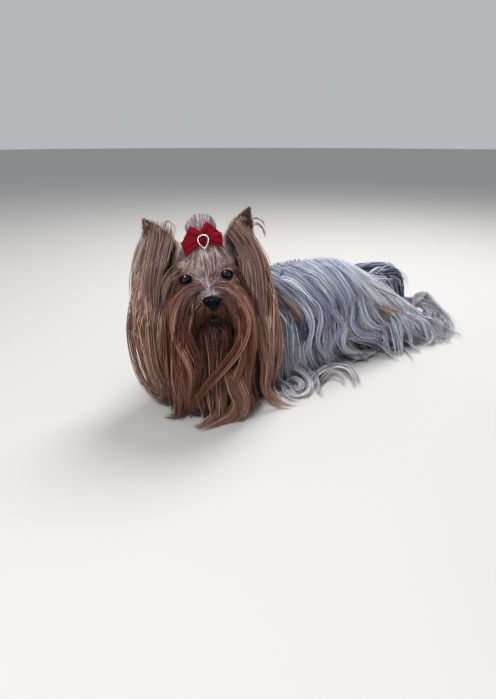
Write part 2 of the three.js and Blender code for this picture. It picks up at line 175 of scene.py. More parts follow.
class Wire:
    def __init__(self, tree, socket):
        self.tree, self.socket = tree, socket

    @staticmethod
    def node(tree, kind, settings=None, inputs=None, output=0):
        made = tree.nodes.new(kind)
        for name, value in (settings or {}).items():
            if name == "stops":
                ramp = made.color_ramp
                for i, (place, colour) in enumerate(value):
                    stop = ramp.elements[i] if i < len(ramp.elements) else ramp.elements.new(place)
                    stop.position, stop.color = place, (*colour, 1.0)
            else:
                setattr(made, name, value)
        for name, value in (inputs or {}).items():
            if isinstance(value, Wire):
                tree.links.new(value.socket, made.inputs[name])
            else:
                made.inputs[name].default_value = value
        return Wire(tree, made.outputs[output])

    def sum(self, operation, other, swapped=False):
        first, second = (other, self) if swapped else (self, other)
        return Wire.node(self.tree, "ShaderNodeMath", {"operation": operation}, {0: first, 1: second})

    def __add__(self, other):
        return self.sum("ADD", other)

    __radd__ = __add__

    def __sub__(self, other):
        return self.sum("SUBTRACT", other)

    def __rsub__(self, other):
        return self.sum("SUBTRACT", other, True)

    def __mul__(self, other):
        return self.sum("MULTIPLY", other)

    __rmul__ = __mul__


def newMaterial(name, fixed):
    material = bpy.data.materials.new(name)
    material.use_nodes = True
    tree = material.node_tree
    shader = next(n for n in tree.nodes if n.type == "BSDF_PRINCIPLED")
    for socket, value in fixed.items():
        shader.inputs[socket].default_value = value
    return material, tree, shader


def feed(tree, shader, **wires):
    for name, wire in wires.items():
        tree.links.new(wire.socket, shader.inputs[name.replace("_", " ")])


def tonedMaterial(name, fixed, grain=0.0, bump=0.0, bumpSize=900.0, uneven=0.0):
    material, tree, shader = newMaterial(name, fixed)
    tone = Wire.node(tree, "ShaderNodeAttribute", {"attribute_name": "tone"})
    place = Wire.node(tree, "ShaderNodeTexCoord", output=3)
    colour = tone
    if grain:
        spots = Wire.node(tree, "ShaderNodeTexNoise", None, {"Vector": place, "Scale": 260.0, "Detail": 3.0})
        colour = Wire.node(
            tree, "ShaderNodeMix", {"data_type": "RGBA", "blend_type": "MULTIPLY"},
            {"Factor": spots * grain, 6: tone, 7: (0.35, 0.3, 0.28, 1.0)}, 2)
    feed(tree, shader, Base_Color=colour)
    if uneven:
        wet = Wire.node(tree, "ShaderNodeTexNoise", None, {"Vector": place, "Scale": 420.0, "Detail": 2.0})
        feed(tree, shader, Roughness=wet * uneven + (fixed["Roughness"] - uneven / 2))
    if bump:
        pores = Wire.node(tree, "ShaderNodeTexNoise", None,
                          {"Vector": place, "Scale": bumpSize, "Detail": 3.0})
        raised = Wire.node(tree, "ShaderNodeBump", None,
                           {"Height": pores, "Strength": bump, "Distance": 0.0006})
        feed(tree, shader, Normal=raised)
    return material


materials = {
    "skin": tonedMaterial(
        "shortCoatedSkin", {"Roughness": 0.75, "Specular IOR Level": 0.25}, grain=0.6, bump=0.7),
    "hair": tonedMaterial("silkyHair", {"Roughness": 0.45, "Specular IOR Level": 0.28}),
    "dullHair": tonedMaterial("softHair", {"Roughness": 0.6, "Specular IOR Level": 0.2}),
    "nose": tonedMaterial(
        "moistNoseLeather", {"Roughness": 0.3, "Specular IOR Level": 0.09},
        bump=0.18, bumpSize=1500.0, uneven=0.1),
    "eye": tonedMaterial("darkEye", {"Roughness": 0.05, "Specular IOR Level": 0.5}),
    "velvet": tonedMaterial(
        "crimsonVelvet",
        {"Roughness": 0.9, "Specular IOR Level": 0.08, "Sheen Weight": 0.25, "Sheen Roughness": 0.35,
         "Sheen Tint": (1, 0.04, 0.08, 1)},
        bump=0.35, bumpSize=2600.0),
    "rim": tonedMaterial("paleGoldRim", {"Roughness": 0.2, "Metallic": 0.75}),
    "gem": tonedMaterial("garnetGlass", {"Roughness": 0.12, "Specular IOR Level": 0.08}),
}


# Meshes


def newObject(name, points, faces, material, colours, smooth=True):  # points in the dog's frame
    mesh = bpy.data.meshes.new(name)
    mesh.vertices.add(len(points))
    mesh.vertices.foreach_set("co", ((points + rowShift) * metre).astype(np.float32).ravel())
    sizes = np.concatenate([np.full(len(f), f.shape[1]) for f in faces])
    corners = np.concatenate([f.ravel() for f in faces]).astype(np.int32)
    mesh.loops.add(len(corners))
    mesh.loops.foreach_set("vertex_index", corners)
    mesh.polygons.add(len(sizes))
    mesh.polygons.foreach_set("loop_start", np.concatenate([[0], sizes.cumsum()[:-1]]).astype(np.int32))
    mesh.polygons.foreach_set("loop_total", sizes.astype(np.int32))
    mesh.polygons.foreach_set("use_smooth", np.full(len(sizes), smooth))
    mesh.update()
    mesh.validate()
    layer = mesh.color_attributes.new("tone", "FLOAT_COLOR", "POINT")
    full = np.ones((len(points), 4), np.float32)
    full[:, :3] = colours
    layer.data.foreach_set("color", full.ravel())
    made = bpy.data.objects.new(name, mesh)
    bpy.context.scene.collection.objects.link(made)
    mesh.materials.append(material)
    return made


def settle(made, slotName, *nodes):
    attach(made, "root")
    if nodes:
        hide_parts(*nodes)


# Markings: the tones that skin and coat share, as linear colours from dark to light

tones = {
    "gold": [(0.08, 0.028, 0.015), (0.27, 0.13, 0.085), (0.52, 0.305, 0.235), (0.85, 0.64, 0.57)],
    "russet": [(0.03, 0.008, 0.004), (0.1, 0.034, 0.02), (0.2, 0.085, 0.055), (0.4, 0.22, 0.16)],
    "chin": [(0.01, 0.003, 0.002), (0.035, 0.01, 0.007), (0.08, 0.028, 0.02), (0.17, 0.08, 0.06)],
    "brow": [(0.2, 0.11, 0.095), (0.42, 0.31, 0.3), (0.66, 0.56, 0.58), (0.88, 0.83, 0.86)],
    "tan": [(0.07, 0.048, 0.042), (0.2, 0.15, 0.135), (0.42, 0.34, 0.32), (0.74, 0.66, 0.65)],
    "knot": [(0.13, 0.06, 0.055), (0.32, 0.21, 0.21), (0.52, 0.41, 0.43), (0.82, 0.74, 0.76)],
    "cheek": [(0.08, 0.035, 0.026), (0.25, 0.14, 0.11), (0.44, 0.3, 0.26), (0.62, 0.5, 0.47)],
    "silver": [(0.022, 0.022, 0.036), (0.16, 0.168, 0.24), (0.4, 0.43, 0.57), (0.78, 0.82, 0.92)],
    "cream": [(0.14, 0.12, 0.12), (0.36, 0.34, 0.37), (0.58, 0.57, 0.61), (0.85, 0.84, 0.85)],
    "steel": [(0.01, 0.012, 0.022), (0.045, 0.052, 0.09), (0.16, 0.18, 0.26), (0.55, 0.58, 0.66)],
    "sable": [(0.06, 0.03, 0.025), (0.16, 0.09, 0.075), (0.28, 0.18, 0.16), (0.5, 0.38, 0.35)],
}


def shade(name, level):  # a tone's colour at levels from 0, dark, to 1, light
    stops = np.array(tones[name])
    low, part = between(np.clip(level, 0, 1) * (len(stops) - 1), len(stops) - 1)
    return mixed(stops[low], stops[low + 1], part)


# The skin: rounded forms melted together on a grid that is finest at the head

skinLook = {
    "fine": 0.85, "coarse": 2.6,  # grid steps
    "fineFrom": (44, -64, 104), "fineTo": (112, 24, 206),  # the block round the head
    "from": (-70, -64, -4), "to": (112, 408, 206),
    "depthUnderCoat": 2.2, "faceDepth": 1.4,
    "pads": (0.03, 0.026, 0.026), "lidRims": (0.012, 0.009, 0.009), "lips": (0.014, 0.008, 0.008),
}


def gridLine(axis):
    low, high = skinLook["from"][axis], skinLook["to"][axis]
    fineLow, fineHigh = skinLook["fineFrom"][axis], skinLook["fineTo"][axis]
    steps = []
    for start, stop, step in ((low, fineLow, "coarse"), (fineLow, fineHigh, "fine"),
                              (fineHigh, high, "coarse")):
        count = max(int(round((stop - start) / skinLook[step])), 0)
        if count:
            steps.append(np.linspace(start, stop, count, endpoint=False))
    return np.concatenate([*steps, [high]])


gridLines = [gridLine(axis) for axis in range(3)]
farOff = 12.0  # distances are only known this near the skin
skinDepth = np.full([len(line) for line in gridLines], farOff, np.float32)


def melted(depth, new, blend, cut=False):  # a form joined to the rest, or cut out of it, over a soft edge
    if cut:
        return np.maximum(depth, -new) + np.maximum(blend - np.abs(depth + new), 0) ** 2 / (4 * blend)
    return np.minimum(depth, new) - np.maximum(blend - np.abs(depth - new), 0) ** 2 / (4 * blend)


def stamp(centre, reach, distance, blend=4.0, cut=False):
    parts = []
    for axis in range(3):
        first = np.searchsorted(gridLines[axis], centre[axis] - reach - farOff)
        last = np.searchsorted(gridLines[axis], centre[axis] + reach + farOff)
        parts.append(slice(first, last))
    block = skinDepth[tuple(parts)]
    if not block.size:
        return
    lines = [gridLines[axis][parts[axis]] for axis in range(3)]
    points = np.stack(np.meshgrid(*lines, indexing="ij"), -1)
    block[...] = melted(block, np.minimum(distance(points), farOff), blend, cut)


def ovalDistance(points, centre, radii, axes=np.eye(3)):
    local = (points - centre) @ np.asarray(axes).T
    near = np.linalg.norm(local / radii, axis=-1)
    steep = np.maximum(np.linalg.norm(local / np.square(radii), axis=-1), 1e-6)
    return near * (near - 1) / steep


def addOval(centre, radii, axes=np.eye(3), blend=4.0, cut=False):
    radii = np.asarray(radii, float)
    stamp(centre, radii.max(), lambda p: ovalDistance(p, centre, radii, axes), blend, cut)


def addHeadOval(centre, radii, blend=4.0, cut=False):
    addOval(fromHead(centre), radii, headAxes, blend, cut)


def addLimb(stations, across, thinner, count, blend=6.0):
    stations = np.array(stations, float)
    spine = through(stations[None, :, :3], count + 2)[0]
    girth = np.array([
        [np.interp(t, np.linspace(0, 1, len(stations)), stations[:, i]) for i in (3, 4)]
        for t in np.linspace(0, 1, count + 2)
    ]) - thinner
    for i in range(1, count + 1):
        way = unit(spine[i + 1] - spine[i - 1])
        wide = unit(across - way * np.dot(across, way))
        long = max(np.linalg.norm(spine[i + 1] - spine[i - 1]) * 0.75, 0.8 * girth[i].min())
        addOval(spine[i], (girth[i, 0], girth[i, 1], long), np.stack([wide, np.cross(way, wide), way]), blend)


ear = {"height": 43.0, "rootHalf": 13.6, "bulge": 19.55, "rootDown": 8.0, "curl": 0.014,
       "base": (-34, 31, 16), "climb": 54.7, "slowing": 3.7}  # its edge rises by climb * t - slowing * t**2


def earAxes(side):
    up = unit(np.array([-0.12, side * 0.46, 0.88]))
    facing = np.array([0.9, side * 0.34, 0.1])
    facing = unit(facing - up * np.dot(facing, up))
    return np.stack([np.cross(up, facing), up, facing])


def earPoint(side, across, up, out):  # across is towards the head's left on either ear
    local = columns(across, up, ear["curl"] * np.square(across) + out)
    base = np.array(ear["base"]) * (1, side, 1)
    return fromHead(local @ earAxes(side) + base)


def earHalfWidth(up):
    rise = np.clip(up, -ear["rootDown"], ear["height"]) + ear["rootDown"]
    t = (ear["climb"] - np.sqrt(ear["climb"] ** 2 - 4 * ear["slowing"] * rise)) / (2 * ear["slowing"])
    return ear["rootHalf"] * (1 - t) ** 2 + 2 * ear["bulge"] * t * (1 - t)


def addEar(side):
    base = np.array(ear["base"]) * (1, side, 1)

    def distance(points):
        local = (toHead(points) - base) @ earAxes(side).T
        across, up, out = local[..., 0], local[..., 1], local[..., 2]
        half = 1.05 - 0.35 * np.clip(up / ear["height"], 0, 1)
        sheet = np.abs(out - ear["curl"] * across**2 - 1.1) - half
        edge = (np.abs(across) - earHalfWidth(up) + 0.7) * 0.88
        edge = np.maximum(edge, up - ear["height"] + 1.2)
        edge = np.maximum(edge, -ear["rootDown"] - up)
        return np.maximum(sheet, edge)

    stamp(earPoint(side, 0, ear["height"] / 2, 0), ear["height"] * 0.62, distance, 5.0)


lid = {"thick": 0.8, "halfWide": 5.5, "halfHigh": 4.6, "turnedOut": 0.05, "turnedUp": -0.03, "tilt": 0.1}


def eyeAxes(side):
    ahead = unit(np.array([1.0, side * lid["turnedOut"], lid["turnedUp"]]))
    across = unit(np.cross((0, side * lid["tilt"], 1.0), ahead))
    return np.stack([ahead, across, np.cross(ahead, across)])


def eyeCentre(side):
    return np.array([-headShape["eyesBehindFrame"], side * eyeGap / 2, 0.0])


def openingOf(local, side):  # 1 on the rim between the lids, less over the eye
    seen = (local - eyeCentre(side)) @ eyeAxes(side).T
    reach = np.sqrt(np.abs(seen[..., 1] / lid["halfWide"]) ** 2.2 + (seen[..., 2] / lid["halfHigh"]) ** 2)
    ball = np.linalg.norm(seen, axis=-1)
    return np.where((seen[..., 0] > 2) & (ball < headShape["eyeRadius"] + 7), reach, 9.0)


def addLids(side):
    def distance(points):
        local = (toHead(points) - eyeCentre(side)) @ eyeAxes(side).T
        ball = np.linalg.norm(local, axis=-1)
        shell = np.abs(ball - headShape["eyeRadius"] - 0.75) - lid["thick"]
        wide, high = local[..., 1] / lid["halfWide"], local[..., 2] / lid["halfHigh"]
        opening = (1 - np.sqrt(np.abs(wide) ** 2.2 + high**2)) * lid["halfHigh"]
        opening = np.where(local[..., 0] > 0, opening, -farOff)
        return np.maximum(shell, opening)

    stamp(fromHead(eyeCentre(side)), headShape["eyeRadius"] + 2, distance, 1.6)


# Forms as in the solids, in [x, y, z, half width, half depth]
alongX, alongHeadLeft = np.array([1.0, 0, 0]), headLeft


def inHead(stations):
    stations = np.array(stations, float)
    return np.concatenate([fromHead(stations[:, :3]), stations[:, 3:]], 1)


muzzleLine = inHead([(-10, 0, -10, 15, 12), (2, 0, -12, 14.5, 12), (14, 0, -16, 14, 10.5),
                     (25, 0, -17, 11.5, 9)])
jawLine = inHead([(-10, 0, -23, 12, 9), (4, 0, -25, 11.5, 7), (20, 0, -27, 8.5, 5.5)])
poll = fromHead([-44, 0, -8])
neckLine = [(*poll, 26, 26), (18, 20, 112, 30, 29), (2, 48, 84, 37, 34), (0, 70, 70, 38, 36)]
trunkTop = [(2, 76, 26), (35, 108, 39), (80, 115, 46), (125, 118, 46), (170, 118, 43), (210, 110, 42),
            (245, 94, 39), (280, 72, 26)]
trunkLine = [(0, y, (top - 8) / 2, half, (top + 8) / 2) for y, top, half in trunkTop]
tailLine = [(0, 258, 78, 11, 12), (-9, 286, 86, 17, 14), (-18, 314, 82, 21, 16), (-24, 336, 60, 20, 17),
            (-26, 348, 32, 16, 14), (-26, 352, 12, 9, 9)]
forePaws = {1: ((40, 2, 9), (46, -22, 7)), -1: ((-26, -8, 9), (-22, -36, 7))}


def growSkin():
    face = skinLook["faceDepth"]
    addLimb(trunkLine, alongX, skinLook["depthUnderCoat"], 12, 14)
    addLimb(neckLine, alongX, skinLook["depthUnderCoat"], 8, 10)
    addHeadOval((-30, 0, 6), (33.5, 30.5, 26.5), 8)
    for side in (1, -1):
        addHeadOval((-16, side * 18, -12), (21.5, 14.5, 17.5), 8)
        addHeadOval((-10, side * 17, 9.5), (9, 9.5, 5.5), 5)
    addLimb(muzzleLine, alongHeadLeft, face, 7, 4)
    addLimb(jawLine, alongHeadLeft, face, 5, 1.5)
    for side in (1, -1):
        addHeadOval(eyeCentre(side), (8.4, 8.4, 8.4), 2.0, cut=True)
        addLids(side)
        addEar(side)
        elbow = (side * 36, 52, 18)
        wrist, toes = forePaws[side]
        addLimb([(side * 30, 32, 58, 15, 16), (*elbow, 13, 15)], alongX, 1.5, 4)
        addLimb([(*elbow, 12, 13), (*wrist, 10, 12)], alongX, 1.5, 5)
        addLimb([(wrist[0], wrist[1] + 4, wrist[2], 10, 10), (*toes, 11, 9)], alongX, 1.5, 4)
        addLimb([(side * 20, 228, 46, 20, 28), (side * 32, 262, 34, 18, 22), (side * 38, 296, 24, 17, 19),
                 (side * 38, 328, 17, 15, 17)], alongX, 4, 8)
        addLimb([(side * 38, 322, 15, 11, 12), (side * 38, 352, 14, 11, 12), (side * 38, 384, 8, 10, 8)],
                alongX, 0, 6)
    core = [(x, y, z, 4.5, 4.5) for x, y, z, _, _ in tailLine[:4]]
    addLimb(core, alongX, 0, 12, 4)
    aboveFloor = 0.4 - gridLines[2]
    skinDepth[...] = np.maximum(skinDepth, aboveFloor[None, None, :])


cellCorners = list(itertools.product((0, 1), repeat=3))


def surfaceOf(depth, lines):  # one point in each cell that the surface crosses, joined by quads
    inside = depth < 0
    cellShape = [n - 1 for n in depth.shape]
    count = np.zeros(cellShape, np.int8)
    for i, j, k in cellCorners:
        count += inside[i:cellShape[0] + i, j:cellShape[1] + j, k:cellShape[2] + k]
    cells = np.argwhere((count > 0) & (count < 8))
    total, hits = np.zeros((len(cells), 3)), np.zeros(len(cells))
    pairs = itertools.combinations(cellCorners, 2)
    edges = [(a, b) for a, b in pairs if sum(x != y for x, y in zip(a, b)) == 1]

    def at(offset):
        index = cells + offset
        place = np.stack([lines[axis][index[:, axis]] for axis in range(3)], -1)
        return depth[index[:, 0], index[:, 1], index[:, 2]], place

    for a, b in edges:
        valueA, placeA = at(a)
        valueB, placeB = at(b)
        crosses = (valueA < 0) != (valueB < 0)
        part = np.where(crosses, valueA / np.where(crosses, valueA - valueB, 1), 0)[:, None]
        total += np.where(crosses[:, None], placeA + part * (placeB - placeA), 0)
        hits += crosses
    points = total / hits[:, None]
    number = np.full(cellShape, -1, np.int32)
    number[tuple(cells.T)] = np.arange(len(cells))
    quads = []
    for axis in range(3):
        one, two = [(1, 2), (2, 0), (0, 1)][axis]
        low = [slice(None)] * 3
        low[axis] = slice(0, -1)
        high = [slice(None)] * 3
        high[axis] = slice(1, None)
        first, second = inside[tuple(low)], inside[tuple(high)]
        cross = np.argwhere(first != second)
        cross = cross[(cross[:, one] > 0) & (cross[:, two] > 0)
                      & (cross[:, one] < depth.shape[one] - 1) & (cross[:, two] < depth.shape[two] - 1)]
        ring = []
        for stepOne, stepTwo in ((-1, -1), (0, -1), (0, 0), (-1, 0)):
            cell = cross.copy()
            cell[:, one] += stepOne
            cell[:, two] += stepTwo
            ring.append(number[tuple(cell.T)])
        ring = np.stack(ring, 1)
        out = first[tuple(cross.T)]
        ring[~out] = ring[~out][:, ::-1]
        quads.append(ring)
    return points, np.concatenate(quads)


def depthAt(points):
    shape = points.shape[:-1]
    flat = points.reshape(-1, 3)
    whole, part = [], []
    for axis in range(3):
        line = gridLines[axis]
        low, rest = between(np.interp(flat[:, axis], line, np.arange(len(line))), len(line) - 1)
        whole.append(low)
        part.append(rest.astype(np.float32))
    value = 0.0
    for i, j, k in cellCorners:
        weight = ((part[0] if i else 1 - part[0]) * (part[1] if j else 1 - part[1])
                  * (part[2] if k else 1 - part[2]))
        value = value + weight * skinDepth[whole[0] + i, whole[1] + j, whole[2] + k]
    return value.reshape(shape)


def outwardAt(points, step=1.5):
    slopes = []
    for axis in range(3):
        nudge = np.zeros(3)
        nudge[axis] = step
        slopes.append(depthAt(points + nudge) - depthAt(points - nudge))
    return unit(np.stack(slopes, -1) + 1e-6)


def keptOff(points, height, rounds=3):  # moves points out until they lie that high over the skin
    for _ in range(rounds):
        short = height - depthAt(points)
        near = short > 0
        if not near.any():
            break
        moved = points[near]
        points[near] = moved + outwardAt(moved) * short[near][:, None]
    return points


def onSkin(points, rounds=4):
    for _ in range(rounds):
        points = points - outwardAt(points) * np.clip(depthAt(points), -6, 6)[..., None]
    return points


growSkin()
skinPoints, skinQuads = surfaceOf(skinDepth, gridLines)
print("skin:", len(skinPoints), "points,", 2 * len(skinQuads), "triangles")


def skinTones(points):
    local = toHead(points)
    grey = ease((points[:, 1] - 15) / 55 + (90 - points[:, 2]) / 160)
    level = 0.38 + 0.1 * swell(points, 25, 5)
    colour = mixed(shade("gold", level), shade("silver", level - 0.12), grey)
    farTail = ease((points[:, 1] - 262) / 10) * ease((points[:, 2] - 52) / 14)
    colour = mixed(colour, shade("steel", level), farTail)
    legs = ease((34 - points[:, 2]) / 12) * ease((30 - points[:, 1]) / 20)
    colour = mixed(colour, shade("gold", level), legs)
    pads = ease((points[:, 1] - 384) / 5)
    colour = mixed(colour, skinLook["pads"], pads)
    inHeadRange = ease((local[:, 0] + 62) / 14) * ease((points[:, 2] - 96) / 10)
    # darker under the jaw: partly the dark hair there, partly painted shade under the muzzle
    chin = np.maximum(ease((-23 - local[:, 2]) / 4), 0.8 * ease((-14 - local[:, 2]) / 4)
                      * ease(local[:, 0] / 8))
    colour = mixed(colour, shade("chin", level), chin * inHeadRange)
    brow = ease((local[:, 2] - 3) / 8) * ease((local[:, 0] + 30) / 12) * inHeadRange
    colour = mixed(colour, shade("brow", level + 0.05), 0.8 * brow)
    bridge = ease((8 - np.abs(local[:, 1])) / 5) * ease((local[:, 2] + 15) / 5) * ease((local[:, 0] + 1) / 5)
    colour = mixed(colour, shade("knot", level + 0.15), bridge * inHeadRange)
    # painted shade: the sides of the face beyond the eyes are darker russet
    outer = ease((np.abs(local[:, 1] - 3) - 22) / 5) * ease((13 - local[:, 2]) / 5) * inHeadRange
    colour = mixed(colour, shade("russet", level - 0.1), 0.85 * outer)
    for side in (1, -1):
        inEar = (local - np.array(ear["base"]) * (1, side, 1)) @ earAxes(side).T
        onEar = ease((inEar[:, 1] - 2) / 8) * (np.abs(inEar[:, 0]) < 24) * ease((local[:, 2] - 14) / 8)
        front = ease((inEar[:, 2] - ear["curl"] * inEar[:, 0] ** 2 - 0.6) / 1.0)
        # painted shade: the ear's front is darker low down, in its hollow
        hollowShade = ease((24 - inEar[:, 1]) / 14)
        earTone = mixed(shade("cheek", level + 0.16), shade("sable", level - 0.3 - 0.1 * hollowShade), front)
        colour = mixed(colour, earTone, onEar)
        rim = ease((1.2 - openingOf(local, side)) / 0.1)
        colour = mixed(colour, skinLook["lidRims"], rim)
    lips = ease(1 - np.abs(local[:, 2] + 23.5) / 1.6) * ease((local[:, 0] - 4) / 6)
    return mixed(colour, skinLook["lips"], lips)


fleshNodes = ["head", "muzzle", "ear_left", "ear_right", "neck", "trunk", "tail"]
for part in ("fore_leg", "fore_paw", "hind_leg", "hind_foot"):
    fleshNodes += [part + "_left", part + "_right"]
settle(newObject("skin", skinPoints, [skinQuads], materials["skin"], skinTones(skinPoints)),
       "skin", *fleshNodes)


# Eyes and nose


def ballGrid(around, rows):
    turn = np.linspace(0, 2 * math.pi, around, endpoint=False)
    lean = np.linspace(0, math.pi, rows + 1)[1:-1]
    ring = columns(np.outer(np.cos(lean), np.ones(around)), np.outer(np.sin(lean), np.cos(turn)),
                     np.outer(np.sin(lean), np.sin(turn))).reshape(-1, 3)
    points = np.concatenate([ring, [[1, 0, 0], [-1, 0, 0]]])
    quads, caps = [], []
    for i in range(rows - 2):
        for j in range(around):
            k = (j + 1) % around
            quads.append((i * around + j, (i + 1) * around + j, (i + 1) * around + k, i * around + k))
    last = (rows - 2) * around
    for j in range(around):
        k = (j + 1) % around
        caps += [(len(ring), j, k), (len(ring) + 1, last + k, last + j)]
    return points, np.array(quads), np.array(caps)


eyeLook = {"pupil": (0.002, 0.002, 0.002), "iris": (0.006, 0.003, 0.002), "rim": (0.007, 0.005, 0.005)}


def makeEye(side):
    points, quads, caps = ballGrid(48, 36)
    off = np.degrees(np.arccos(np.clip(points[:, 0], -1, 1)))  # from the middle of the pupil
    bulge = 1 + 0.035 * np.exp(-((off / 30) ** 2))
    iris = ease((off - 17) / 2) * (1 - ease((off - 40) / 3))
    colour = mixed(eyeLook["pupil"], eyeLook["iris"], iris)
    colour = mixed(colour, eyeLook["rim"], ease((off - 44) / 4))
    local = points * (bulge * (headShape["eyeRadius"] - 0.35))[:, None] @ eyeAxes(side) + eyeCentre(side)
    name = "left" if side > 0 else "right"
    made = newObject("eyeball_" + name, fromHead(local), [quads, caps], materials["eye"], colour)
    settle(made, "eye", "eye_" + name)


nose = {
    "centre": (26.2, 1.1, -16.6), "radii": (5.3, 7.0, 5.4), "step": 0.42, "colour": (0.0012, 0.0022, 0.0055),
    "forms": [  # whether it is on both sides, its middle from the centre, its radii and its soft edge
        ("add", False, (0.6, 0, -3.4), (4.4, 4.6, 4.0), 2.5),
        ("add", True, (0.9, 5.0, 2.1), (3.9, 3.9, 3.4), 1.6),
        ("cut", True, (5.2, 3.9, -0.2), (3.4, 1.8, 1.9), 0.9),
        ("cut", True, (3.4, 6.9, -1.6), (3.2, 3.0, 0.8), 0.7),
        ("cut", False, (5.8, 0, -3.2), (1.5, 0.45, 4.2), 0.6),
    ],
}


def makeNose():
    centre = np.array(nose["centre"])
    lines = [np.arange(centre[i] - 10, centre[i] + 10, nose["step"]) for i in range(3)]
    p = np.stack(np.meshgrid(*lines, indexing="ij"), -1)
    side = columns(p[..., 0], centre[1] + np.abs(p[..., 1] - centre[1]), p[..., 2])
    depth = ovalDistance(p, centre + (0, 0, 0.8), np.array(nose["radii"]))
    for form, onBothSides, middle, radii, blend in nose["forms"]:
        new = ovalDistance(side if onBothSides else p, centre + middle, np.array(radii))
        depth = melted(depth, new, blend, form == "cut")
    points, quads = surfaceOf(depth.astype(np.float32), lines)
    made = newObject("nose_leather", fromHead(points), [quads], materials["nose"], nose["colour"])
    settle(made, "nose_leather", "nose")


makeEye(1)
makeEye(-1)
makeNose()
print("eyes and nose made")


# The bow and its brooch, in a frame of their own: X to the dog's left, Y up the bow, Z out of it

bow = {
    "at": (-1.0, 0.3, 35.5), "up": (-0.32, -0.06, 0.94), "out": (0.94, 0.02, 0.34), "cloth": 0.8,
    # edge is a painted sheen along the loops' edges; knot is the velvet painted darker, as the shade round
    # the brooch
    "velvet": (0.138, 0.0026, 0.009), "edge": (0.08, 0.01, 0.015), "knot": (0.035, 0.002, 0.004),
}
loops = {
    "upper_left": ((7.4, 15.6), (18.8, 2.6)),
    "upper_right": ((-9.8, 13.8), (-19.6, 0.4)),
    "lower_left": ((20.0, 2.2), (18.2, -11.0)),
    "lower_right": ((-21.4, -0.6), (-19.6, -14.2)),
}
bowUp = unit(np.array(bow["up"]))
bowOut = np.array(bow["out"])
bowOut = unit(bowOut - bowUp * np.dot(bowOut, bowUp))
bowAxes = np.stack([np.cross(bowUp, bowOut), bowUp, bowOut])


def fromBow(points):
    return fromHead(np.asarray(points, float) @ bowAxes + np.array(bow["at"]))


def thickened(grid, thick):
    along, across = np.gradient(grid, axis=0), np.gradient(grid, axis=1)
    normal = unit(np.cross(along, across))
    points = np.concatenate([(grid + normal * thick / 2).reshape(-1, 3),
                             (grid - normal * thick / 2).reshape(-1, 3)])
    number = np.arange(len(points) // 2).reshape(grid.shape[:2])
    face = columns(number[:-1, :-1], number[1:, :-1], number[1:, 1:], number[:-1, 1:]).reshape(-1, 4)
    rim = np.concatenate([number[0, :-1], number[:-1, -1], number[-1, :0:-1], number[:0:-1, 0]])
    nextRim = np.roll(rim, -1)
    back = number.size
    edge = columns(rim, nextRim, nextRim + back, rim + back)
    return points, np.concatenate([face, face[:, ::-1] + back, edge])


def makeLoop(name, corner, otherCorner):
    a, b = np.array(corner), np.array(otherCorner)
    middle, half = (a + b) / 2, (a - b) / 2
    run = np.linspace(0, 1, 34)
    v = np.linspace(-1, 1, 19)
    back = 0.94
    out = 1 - np.abs(1 - 2 * run)  # from the knot to the loop's end and back
    out = 0.3 * ease(out) + 0.7 * out
    height = 2.6 * np.cos(run * math.pi) * (0.35 + 0.65 * np.sin(np.clip(out, 0, 1) * math.pi * 0.86))
    spread = 0.55 + 0.45 * np.clip(out, 0, 1) ** 0.8
    pleat = 0.75 * np.cos(v[None, :] * 7.4 + corner[0])
    grid = np.empty((len(run), len(v), 3))
    flare = (0.08 + 0.92 * out)[:, None]
    grid[..., :2] = middle * (flare * back)[..., None] + (half * (spread[:, None, None] * v[None, :, None]))
    turned = np.sign(np.cos(run * math.pi))[:, None]
    grid[..., 2] = height[:, None] + pleat * (1 - out[:, None] * 0.55) * turned * 0.8
    grid[..., 2] -= 1.2 * (v[None, :] ** 2) * out[:, None]
    points, faces = thickened(grid, bow["cloth"])
    # painted shade and sheen: the velvet is darker in the pleats' hollows, lighter on their crests and
    # lighter again along its edges
    foldShade = np.tile((pleat * np.ones((len(run), 1))).reshape(-1), 2)
    edge = np.tile((np.abs(v)[None, :] ** 8 * np.ones((len(run), 1))).reshape(-1), 2)
    colour = (1.0 + 0.4 * foldShade)[:, None] * bow["velvet"] + edge[:, None] * bow["edge"]
    made = newObject("velvet_" + name, fromBow(points), [faces], materials["velvet"], np.clip(colour, 0, 1))
    settle(made, "velvet", "bow_loop_" + name)


def makeKnot():
    points, quads, caps = ballGrid(28, 20)
    creaseAndShade = 1 + 0.07 * np.cos(np.arctan2(points[:, 1], points[:, 2]) * 7)
    shape = columns(points[:, 1] * 4.3, points[:, 0] * 5.2, points[:, 2] * 3.9) * creaseAndShade[:, None]
    # painted shade: the knot is darker in its creases
    colour = creaseAndShade[:, None] * bow["knot"]
    made = newObject("velvet_knot", fromBow(shape), [quads, caps], materials["velvet"], colour)
    settle(made, "velvet", "bow_knot")


brooch = {
    "size": 5.3, "below": 3.7, "height": 5.5, "beads": 22, "beadRadius": 0.6,
    "gold": (0.8, 0.6, 0.46), "paleGold": (0.9, 0.8, 0.72), "stone": (0.085, 0.001, 0.006),
    "facets": [(3.6, 4.5), (4.3, 5.0), (4.2, 5.4), (3.2, 6.5), (1.9, 7.0)],  # size and height
    "sides": 17,
}


def dropOutline(size, count, height):  # pear shape, point down
    turn = np.linspace(0, 2 * math.pi, count, endpoint=False)
    across = -1.12 * size * np.sin(turn) * np.abs(np.sin(turn / 2)) ** 0.9
    return columns(across, -1.12 * size * np.cos(turn) - brooch["below"], height)


